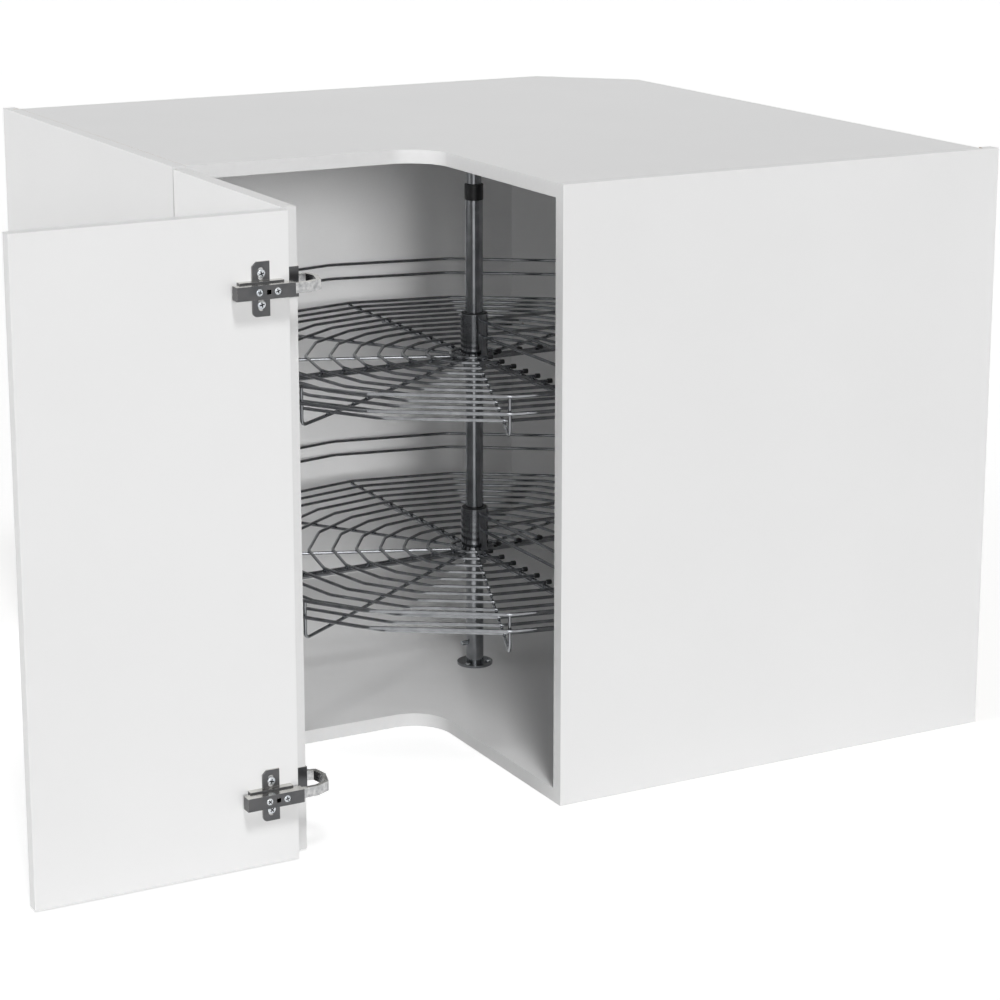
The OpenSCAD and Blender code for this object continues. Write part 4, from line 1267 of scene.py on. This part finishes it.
@dataclass
class WireShelf:
    """One chromed wire shelf that turns on the pole.

    A cap's crown and rim are pairs of a step inwards and a distance from that end of it.
    """

    name: str
    body: Body
    level: float
    ring_count: int = 12
    ring_pitch: float = 30.0
    ring_wire_d: float = 4.0
    overshoot: float = 7.5
    ring_bend: float = 20.0
    ring_bend_steps: int = 4
    ring_wire_sides: int = 12
    spoke_d: float = 4.0
    spoke_sides: int = 14
    arm_d: float = 8.0
    arm_sides: int = 24
    arm_reach: float = 255.0
    rod_drop: float = 0.2
    rod_lap: float = 5.0
    hub_r: float = 17.0
    hub_bore_r: float = 15.0
    hub_foot: float = -11.0
    hub_head: float = 51.0
    hub_outer_round: float = 0.5
    hub_inner_round: float = 0.4
    spoke_weld: float = 1.0
    rail_weld: float = 0.5
    bush_bore_r: float = 11.05
    bush_l: float = 12.0
    bush_play: float = 0.1
    bush_lip_h: float = 1.0
    bush_lip_inset: float = 1.0
    bush_lip_round: float = 0.4
    bush_mouth_round: float = 0.5
    elbow: float = 8.0
    elbow_steps: int = 6
    top_rail_h: float = 42.0
    low_rail_h: float = 22.5
    rail_r: float = 422.0
    rail_bend: float = 40.0
    rail_bend_steps: int = 8
    corner_bend: float = 13.0
    return_offset: float = 5.0
    cap_d: float = 6.0
    cap_gap: float = 3.2
    cap_l: float = 6.0
    cap_end_t: float = 1.2
    cap_play: float = 0.05
    cap_crown: Profile = ((0.9, 0.0), (0.25, 0.25), (0.0, 0.9))
    cap_rim: Profile = ((0.0, 0.3), (0.2, 0.0))
    cap_steps: int = 20
    nugget_r: float = 2.5
    nugget_h: float = 1.2
    nugget_steps: tuple[int, int] = (10, 6)
    spoke_angles: tuple[float, ...] = (22.5, 62.5, 124.0, 157.5, 214.0, 247.5)
    arm_angles: tuple[float, ...] = (0.0, 90.0, 180.0, 270.0)
    polygon_step: float = 360 / POLYGON_SIDES

    @property
    def half_step(self) -> float:
        """Half a side of the wires' polygon, as an angle in radians."""
        return math.radians(self.polygon_step / 2)

    def at(self, radius: float, degrees: float, height: float) -> Vector:
        """Finds a point of the shelf.

        Args:
            radius: Distance from the pole's axis.
            degrees: Direction from the axis.
            height: Height above the floor wires.

        Returns:
            The point in metres.
        """
        a = math.radians(degrees)
        return Vector((radius * math.cos(a), radius * math.sin(a), self.level + height)) * MM

    def polygon_r(self, corner_r: float, bend: float, degrees: float) -> float:
        """Finds how far a polygonal wire's centre line is from the pole in one direction.

        Args:
            corner_r: The radius that its corners would have unbent.
            bend: The bend radius at its corners.
            degrees: The direction from the axis.

        Returns:
            The distance.
        """
        flat = corner_r - bend * math.tan(self.half_step) * math.sin(self.half_step)
        off_middle = math.radians(degrees % self.polygon_step) - self.half_step
        return min(flat, corner_r * math.cos(self.half_step) / math.cos(off_middle))

    def corner_post_r(self) -> float:
        """Finds the distance to a post inside the rails' bend at the open quarter's corner.

        Returns:
            The distance from the pole's axis to the post's centre.
        """
        bend_x = (self.rail_r + self.return_offset * math.tan(self.half_step)
                  - self.corner_bend / math.tan(math.pi / 4 - self.half_step / 2))
        reach = self.corner_bend - self.spoke_d
        return bend_x + math.sqrt(reach ** 2 - (self.corner_bend - self.return_offset) ** 2)

    def post_r(self, degrees: float) -> float:
        """Returns the distance to the centre of a post that the rails touch."""
        return self.polygon_r(self.rail_r, self.rail_bend, degrees) - self.spoke_d

    def wire(self, part: str, runs: Sequence[Run], diameter: float, node: str, steps: int,
             sides: int) -> None:
        """Draws wires along lines and makes them one piece.

        Args:
            part: The piece's name after the shelf's.
            runs: The wires' corners and bends.
            diameter: The wires' diameter.
            node: The CAD node's name after the shelf's.
            steps: The number of steps in a bend.
            sides: The number of sides round a wire.
        """
        mesh = grown(lines_mesh(runs), bent_wire_tree(),
                     {"Wire Diameter": diameter * MM, "Bend Steps": steps, "Sides": sides,
                      "Finish": made(CHROME)})
        add_piece(f"{self.name}_{part}", mesh, self.body, [f"{self.name}_{node}"])

    def floor_wires(self) -> None:
        """Draws the rings of the shelf's floor."""
        mesh = grown(bpy.data.meshes.new("rings"), floor_wires_tree(),
                     {"Ring Count": self.ring_count, "Ring Pitch": self.ring_pitch * MM,
                      "Wire Diameter": self.ring_wire_d * MM,
                      "Overshoot": self.overshoot * MM, "Bend Radius": self.ring_bend * MM,
                      "Bend Steps": self.ring_bend_steps, "Sides": self.ring_wire_sides,
                      "Finish": made(CHROME)})
        mesh.transform(Matrix.Translation((0, 0, self.level * MM)))
        add_piece(f"{self.name}_floor_wires", mesh, self.body,
                  [f"{self.name}_floor_rings"])

    def spokes(self) -> None:
        """Draws the spokes, which turn up into posts inside the rails."""
        z = -(self.ring_wire_d + self.spoke_d) / 2
        start = self.hub_r - self.spoke_weld
        runs = [[(self.at(start, a, z), 0.0), (self.at(self.post_r(a), a, z), self.elbow),
                 (self.at(self.post_r(a), a, self.top_rail_h), 0.0)]
                for a in self.spoke_angles]
        self.wire("spoke_wires", runs, self.spoke_d, "spokes", self.elbow_steps,
                  self.spoke_sides)

    def arms(self) -> None:
        """Draws the four thick arms and the thin rods that go on from their ends."""
        arm_z = -(self.ring_wire_d + self.arm_d) / 2
        rod_z = -(self.ring_wire_d + self.spoke_d) / 2 - self.rod_drop
        start = self.hub_r - self.spoke_weld
        tubes = [[(self.at(start, a, arm_z), 0.0), (self.at(self.arm_reach, a, arm_z), 0.0)]
                 for a in self.arm_angles]
        self.wire("arm_tubes", tubes, self.arm_d, "arms", self.elbow_steps, self.arm_sides)
        rod_start = self.arm_reach - self.rod_lap
        rod_reach = self.ring_count * self.ring_pitch + self.ring_wire_d / 2
        post = self.corner_post_r()
        corner_rods = [[(self.at(rod_start, a, rod_z), 0.0), (self.at(post, a, rod_z), self.elbow),
                        (self.at(post, a, self.top_rail_h), 0.0)]
                       for a in (self.arm_angles[0], self.arm_angles[-1])]
        plain_rods = [[(self.at(rod_start, a, rod_z), 0.0), (self.at(rod_reach, a, rod_z), 0.0)]
                      for a in self.arm_angles[1:-1]]
        self.wire("arm_rods", corner_rods + plain_rods, self.spoke_d, "arms",
                  self.elbow_steps, self.spoke_sides)

    def rail_run(self, height: float) -> Run:
        """Lays out one rail: out of the hub, round the shelf and back.

        Args:
            height: The rail's height above the floor wires.

        Returns:
            Its corners and bends.
        """
        start = math.sqrt((self.hub_r - self.rail_weld) ** 2
                          - (self.return_offset - self.spoke_d / 2) ** 2)
        past = self.rail_r + self.return_offset * math.tan(self.half_step)
        around = [(self.at(self.rail_r, i * self.polygon_step, height), self.rail_bend)
                  for i in range(1, POLYGON_CORNERS - 1)]
        z = self.level + height
        return [(Vector((start, -self.return_offset, z)) * MM, 0.0),
                (Vector((past, -self.return_offset, z)) * MM, self.corner_bend),
                *around,
                (Vector((self.return_offset, -past, z)) * MM, self.corner_bend),
                (Vector((self.return_offset, -start, z)) * MM, 0.0)]

    def rails(self) -> None:
        """Draws the top rail and the low rail."""
        for part, height in (("top_rail", self.top_rail_h), ("low_rail", self.low_rail_h)):
            self.wire(part + "_wire", [self.rail_run(height)], self.spoke_d, part,
                      self.rail_bend_steps, self.spoke_sides)

    def caps(self) -> None:
        """Sets a black cap on each end of each floor wire."""
        half, wire = self.cap_d / 2, self.ring_wire_d / 2 + self.cap_play
        shape = lathe([(0, 0), *((half - inset, -depth) for inset, depth in self.cap_crown),
                       *((half - inset, rise - self.cap_l) for inset, rise in self.cap_rim),
                       (wire, -self.cap_l), (wire, -self.cap_end_t), (0, -self.cap_end_t)],
                      self.cap_steps)
        aim = Vector((math.sin(self.half_step), -math.cos(self.half_step), 0))
        near = []
        for i in range(1, self.ring_count + 1):
            start = Vector((i * self.ring_pitch * MM, 0, self.level * MM))
            near.append((start + aim * (self.cap_gap + self.cap_l) * MM, aim))
        far = [(Vector((-spot.y, -spot.x, spot.z)), Vector((-way.y, -way.x, 0)))
               for spot, way in near]
        mesh = scattered(shape, near + far, BLACK_PLASTIC)
        add_piece(f"{self.name}_end_caps", mesh, self.body,
                  [f"{self.name}_wire_caps"])

    def welds(self) -> None:
        """Sets a small nugget where each floor wire crosses an arm or a spoke."""
        places = []
        for a in self.arm_angles + self.spoke_angles:
            for i in range(1, self.ring_count + 1):
                r = self.polygon_r(i * self.ring_pitch, self.ring_bend, a)
                places.append((self.at(r, a, -self.ring_wire_d / 2), Vector((0, 0, 1))))
        around, upwards = self.nugget_steps
        width, height = self.nugget_r * MM, self.nugget_h * MM
        shape = bmesh.new()
        bmesh.ops.create_uvsphere(shape, u_segments=around, v_segments=upwards, radius=1.0)
        shape.transform(Matrix.Diagonal((width, width, height, 1.0)))
        mesh = scattered(shape, places, WELD)
        add_piece(f"{self.name}_weld_nuggets", mesh, self.body)

    def hub(self) -> None:
        """Turns the hub's sleeve and its two bushes."""
        foot, head, level = self.hub_foot, self.hub_head, self.level
        out, into = self.hub_outer_round, self.hub_inner_round
        sleeve = [(self.hub_bore_r, foot + into), (self.hub_bore_r + into, foot),
                  (self.hub_r - out, foot), (self.hub_r, foot + out),
                  (self.hub_r, head - out), (self.hub_r - out, head),
                  (self.hub_bore_r + into, head), (self.hub_bore_r, head - into)]
        turned = lathe([(r, z + level) for r, z in sleeve], TURNED_STEPS)
        add_piece(f"{self.name}_hub_tube", evened(to_mesh(turned, [CHROME_TUBE])),
                  self.body, [f"{self.name}_hub_sleeve"])
        bore, outer = self.bush_bore_r, self.hub_bore_r - self.bush_play
        lip, top = self.hub_r - self.bush_lip_inset, self.bush_lip_h
        bush = [(bore, -self.bush_l), (outer, -self.bush_l), (outer, 0.0), (lip, 0.0),
                (lip, top - self.bush_lip_round), (lip - self.bush_lip_round, top),
                (bore + self.bush_mouth_round, top), (bore, top - self.bush_mouth_round)]
        for part, base, way in (("top_bush", head, 1), ("bottom_bush", foot, -1)):
            turned = lathe([(r, level + base + way * z) for r, z in bush], TURNED_STEPS)
            add_piece(f"{self.name}_{part}_moulding", evened(to_mesh(turned, [BLACK_PLASTIC])),
                      self.body, [f"{self.name}_{part}"])

    def build(self) -> None:
        """Builds the shelf."""
        self.hub()
        self.floor_wires()
        self.arms()
        self.spokes()
        self.rails()
        self.caps()
        self.welds()


# ------------------------------------------------------------------ door

@dataclass
class Door:
    """The two leaves of the folding door."""

    edge_round: float = 0.6

    def leaf(self, node: str, body: Body, thick_axis: int) -> None:
        """Dresses one leaf, which has edging on all four edges.

        Args:
            node: The CAD node that the leaf replaces.
            body: The body that it rides on.
            thick_axis: The axis across its thickness.
        """
        shape = softened(node, self.edge_round)
        low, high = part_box(node)
        for face in shape.faces:
            centre = face.calc_center_median()
            insets = [min(centre[i] - low[i], high[i] - centre[i]) for i in range(3)]
            off_face = insets.pop(thick_axis)
            if abs(face.normal[thick_axis]) > FACING and off_face < NEAR * MM:
                surface = Surface.FACE
            else:
                surface = Surface.BAND if min(insets) < NEAR * MM else Surface.CORE
            face.material_index = surface.value
        # The leaf's faces take the lighter door melamine, which is painted light
        mesh = evened(to_mesh(shape, [LIGHTER_DOOR_FACE, EDGING, CORE]))
        add_piece(node + "_board", mesh, body, [node])

    def build(self) -> None:
        """Builds both leaves."""
        self.leaf("door_leaf_1", Body.LEAF_1, thick_axis=0)
        self.leaf("door_leaf_2", Body.LEAF_2, thick_axis=1)


# ------------------------------------------------------------------ hinges

class Joint(Enum):
    """The two lines of hinges: at the side panel and at the fold."""

    SIDE = "side"
    FOLD = "fold"


@dataclass
class Hinges:
    """The two concealed hinges of one line of the door, one low and one high."""

    joint: Joint
    plate_body: Body
    cup_body: Body
    link_body: Body
    plate_round: float = 0.35
    arm_round: float = 0.6
    cup_round: float = 0.3
    link_round: float = 0.5
    pin_round: float = 0.2
    level_share: float = 0.8
    plate_screw: Fastener = Fastener(head_d=9, head_h=2, shank_d=5, shank_l=12)
    cup_screw: Fastener = Fastener(head_d=7, head_h=1.5, shank_d=3.5, shank_l=12)
    adjusting_screw: Fastener = Fastener(head_d=8, head_h=1.5, shank_d=5, shank_l=14.5)

    def pressing(self, part: str, body: Body, radius: float,
                 face_finish: Finish = NICKEL) -> None:
        """Dresses a pressed part, whose rounded edges and level faces are painted brighter than
        the rest as a painted highlight.

        Args:
            part: The CAD node's name after the joint's.
            body: The body that it rides on.
            radius: The width of its rounded edges.
            face_finish: The finish of its other faces.
        """
        node = f"{self.joint.value}_hinge_{part}"
        shape = softened(node, radius)
        # Level faces join the rounded edges in the bright nickel, a painted highlight
        for face in shape.faces:
            if abs(face.normal.z) > self.level_share:
                face.material_index = 1
        add_piece(node + "_pressed", evened(to_mesh(shape, [face_finish, BRIGHT_NICKEL_AND_HIGHLIGHT])), body,
                  [node])

    def build(self) -> None:
        """Builds the hinges of one line."""
        self.pressing("plates", self.plate_body, self.plate_round)
        self.pressing("arms", self.plate_body, self.arm_round)
        self.pressing("cups", self.cup_body, self.cup_round)
        self.pressing("links", self.link_body, self.link_round, NICKEL_LINK)
        self.pressing("pins", self.plate_body, self.pin_round, BRIGHT_NICKEL_AND_HIGHLIGHT)
        for part, body, kind in (("plate_screws", self.plate_body, self.plate_screw),
                                 ("cup_screws", self.cup_body, self.cup_screw),
                                 ("cams", self.plate_body, self.adjusting_screw)):
            FastenerSet(f"{self.joint.value}_hinge_{part}", body, kind).build()


# ------------------------------------------------------------------ studio

def seen_by_eye(tree: bpy.types.NodeTree) -> bpy.types.NodeSocket:
    """Tells rays that show a thing to the eye from rays that light other things.

    Args:
        tree: The material's or the world's tree.

    Returns:
        A socket of 1 for camera rays, reflections and refractions, and 0 for others.
    """
    rays = add_node(tree, "ShaderNodeLightPath")
    direct = add_node(tree, "ShaderNodeMath", {"operation": "MAXIMUM"},
                      {0: rays.outputs["Is Camera Ray"], 1: rays.outputs["Is Glossy Ray"]})
    shown = add_node(tree, "ShaderNodeMath", {"operation": "MAXIMUM"},
                     {0: direct.outputs[0], 1: rays.outputs["Is Transmission Ray"]})
    return shown.outputs[0]


@dataclass(frozen=True)
class FarLamp:
    """One broad, far lamp, whose gleam on metal is held down to a share of its light.

    Its heading is the direction that its light travels in, from +Y towards +X, and its
    height is the angle above the horizon. Its spread is the angle that it fills, which
    softens its shadows. A level of 1 shows a surface that faces it in its own colour.
    """

    name: str
    heading: float
    height: float
    spread: float
    level: float
    gleam: float = 0.19

    def build(self) -> None:
        """Sets one lamp for matt surfaces and a weaker one for reflections."""
        travel = Vector((math.sin(math.radians(self.heading)),
                         math.cos(math.radians(self.heading)),
                         -math.tan(math.radians(self.height))))
        for part, share in (("light", 1.0), ("gleam", self.gleam)):
            light = bpy.data.lights.new(f"{self.name}_{part}", "SUN")
            light.angle = math.radians(self.spread)
            light.energy = math.pi * self.level * share
            lamp = add_object(f"{self.name}_{part}", light)
            lamp.rotation_euler = travel.to_track_quat("-Z", "Y").to_euler()
            lamp.visible_glossy = part == "gleam"
            lamp.visible_diffuse = part == "light"


@dataclass
class Studio:
    """The floor, light and camera round the object.

    The floor's size, the inside lamp's size and the camera's sight are in metres.
    """

    camera_at: tuple[float, float, float] = (-1582.7, -2992.8, 1161.5)
    yaw: float = 28.415
    pitch: float = 13.297
    focal_px: float = 2780.0
    frame_px: float = 1000.0
    sensor: float = 36.0
    shift_y: float = -0.10
    sight: float = 100.0
    floor_size: float = 60.0
    floor_drop: float = 0.5
    floor_colour: str = "#c3c3c3"
    floor_roughness: float = 0.9
    floor_glow: float = 0.66
    sky_level: float = 0.13
    inside_at: tuple[float, float, float] = (-310.0, 60.0, 670.0)
    inside_size: float = 0.2
    inside_power: float = 0.45
    lamps: tuple[FarLamp, ...] = (
        FarLamp("front", heading=16.5, height=11, spread=12, level=0.44),
        FarLamp("high", heading=16.5, height=55, spread=12, level=0.44),
        FarLamp("side", heading=90, height=8, spread=30, level=0.49))

    def floor(self) -> None:
        """Lays a plain pale floor that keeps the object's shadow."""
        half = self.floor_size / 2
        z = -self.floor_drop * MM
        mesh = bpy.data.meshes.new("floor")
        mesh.from_pydata([(-half, -half, z), (half, -half, z), (half, half, z),
                          (-half, half, z)], [], [(0, 1, 2, 3)])
        floor = add_object("floor", mesh)
        material = bpy.data.materials.new("pale_studio_floor")
        material.use_nodes = True
        tree = material.node_tree
        shader = tree.nodes["Principled BSDF"]
        shader.inputs["Base Color"].default_value = linear(self.floor_colour)
        shader.inputs["Roughness"].default_value = self.floor_roughness
        shader.inputs["Specular IOR Level"].default_value = 0.0
        # Where the eye sees it, the floor glows up to plain white outside the shadow
        level = add_node(tree, "ShaderNodeMath",
                         {"operation": "MULTIPLY", 1: self.floor_glow},
                         {0: seen_by_eye(tree)})
        glow = add_node(tree, "ShaderNodeEmission", {"Color": (1, 1, 1, 1)},
                        {"Strength": level.outputs[0]})
        both = add_node(tree, "ShaderNodeAddShader", {},
                        {0: shader.outputs[0], 1: glow.outputs[0]})
        tree.links.new(both.outputs[0], tree.nodes["Material Output"].inputs["Surface"])
        mesh.materials.append(material)

    def sky(self) -> None:
        """Sets a white background over a softer all-round light."""
        world = bpy.data.worlds.new("studio")
        bpy.context.scene.world = world
        world.use_nodes = True
        tree = world.node_tree
        background = tree.nodes["Background"]
        level = add_node(tree, "ShaderNodeMapRange",
                         {"To Min": self.sky_level, "To Max": 1.0},
                         {"Value": seen_by_eye(tree)})
        background.inputs["Color"].default_value = (1, 1, 1, 1)
        tree.links.new(level.outputs["Result"], background.inputs["Strength"])

    def inside_lamp(self) -> None:
        """Sets a soft lamp under the top panel, which fills the cabinet's inside with light."""
        light = bpy.data.lights.new("inside_light", "AREA")
        light.size = self.inside_size
        light.energy = self.inside_power
        lamp = add_object("inside_light", light)
        lamp.location = Vector(self.inside_at) * MM
        lamp.visible_camera = False
        lamp.visible_glossy = False

    def camera(self) -> None:
        """Sets the camera at the photograph's viewing angle."""
        data = bpy.data.cameras.new("photo_camera")
        data.sensor_width = self.sensor
        data.lens = self.focal_px * self.sensor / self.frame_px
        data.shift_y = self.shift_y
        data.clip_end = self.sight
        camera = add_object("photo_camera", data)
        camera.location = Vector(self.camera_at) * MM
        camera.rotation_euler = (math.radians(90 - self.pitch), 0, math.radians(-self.yaw))
        bpy.context.scene.camera = camera

    def build(self) -> None:
        """Builds the studio."""
        bpy.context.scene.view_settings.view_transform = "Standard"
        self.floor()
        self.sky()
        for lamp in self.lamps:
            lamp.build()
        self.inside_lamp()
        self.camera()


def main() -> None:
    """Builds the studio and every sub-assembly."""
    logging.basicConfig(level=logging.INFO, format="%(message)s")
    Studio().build()
    Carcass().build()
    Pole().build()
    WireShelf("lower_shelf", Body.LOWER_SHELF, level=172).build()
    WireShelf("upper_shelf", Body.UPPER_SHELF, level=422).build()
    Door().build()
    Hinges(Joint.SIDE, Body.CARCASS, Body.LEAF_1, Body.SIDE_LINKS).build()
    Hinges(Joint.FOLD, Body.LEAF_2, Body.LEAF_1, Body.FOLD_LINKS).build()


if __name__ == "__main__":
    main()
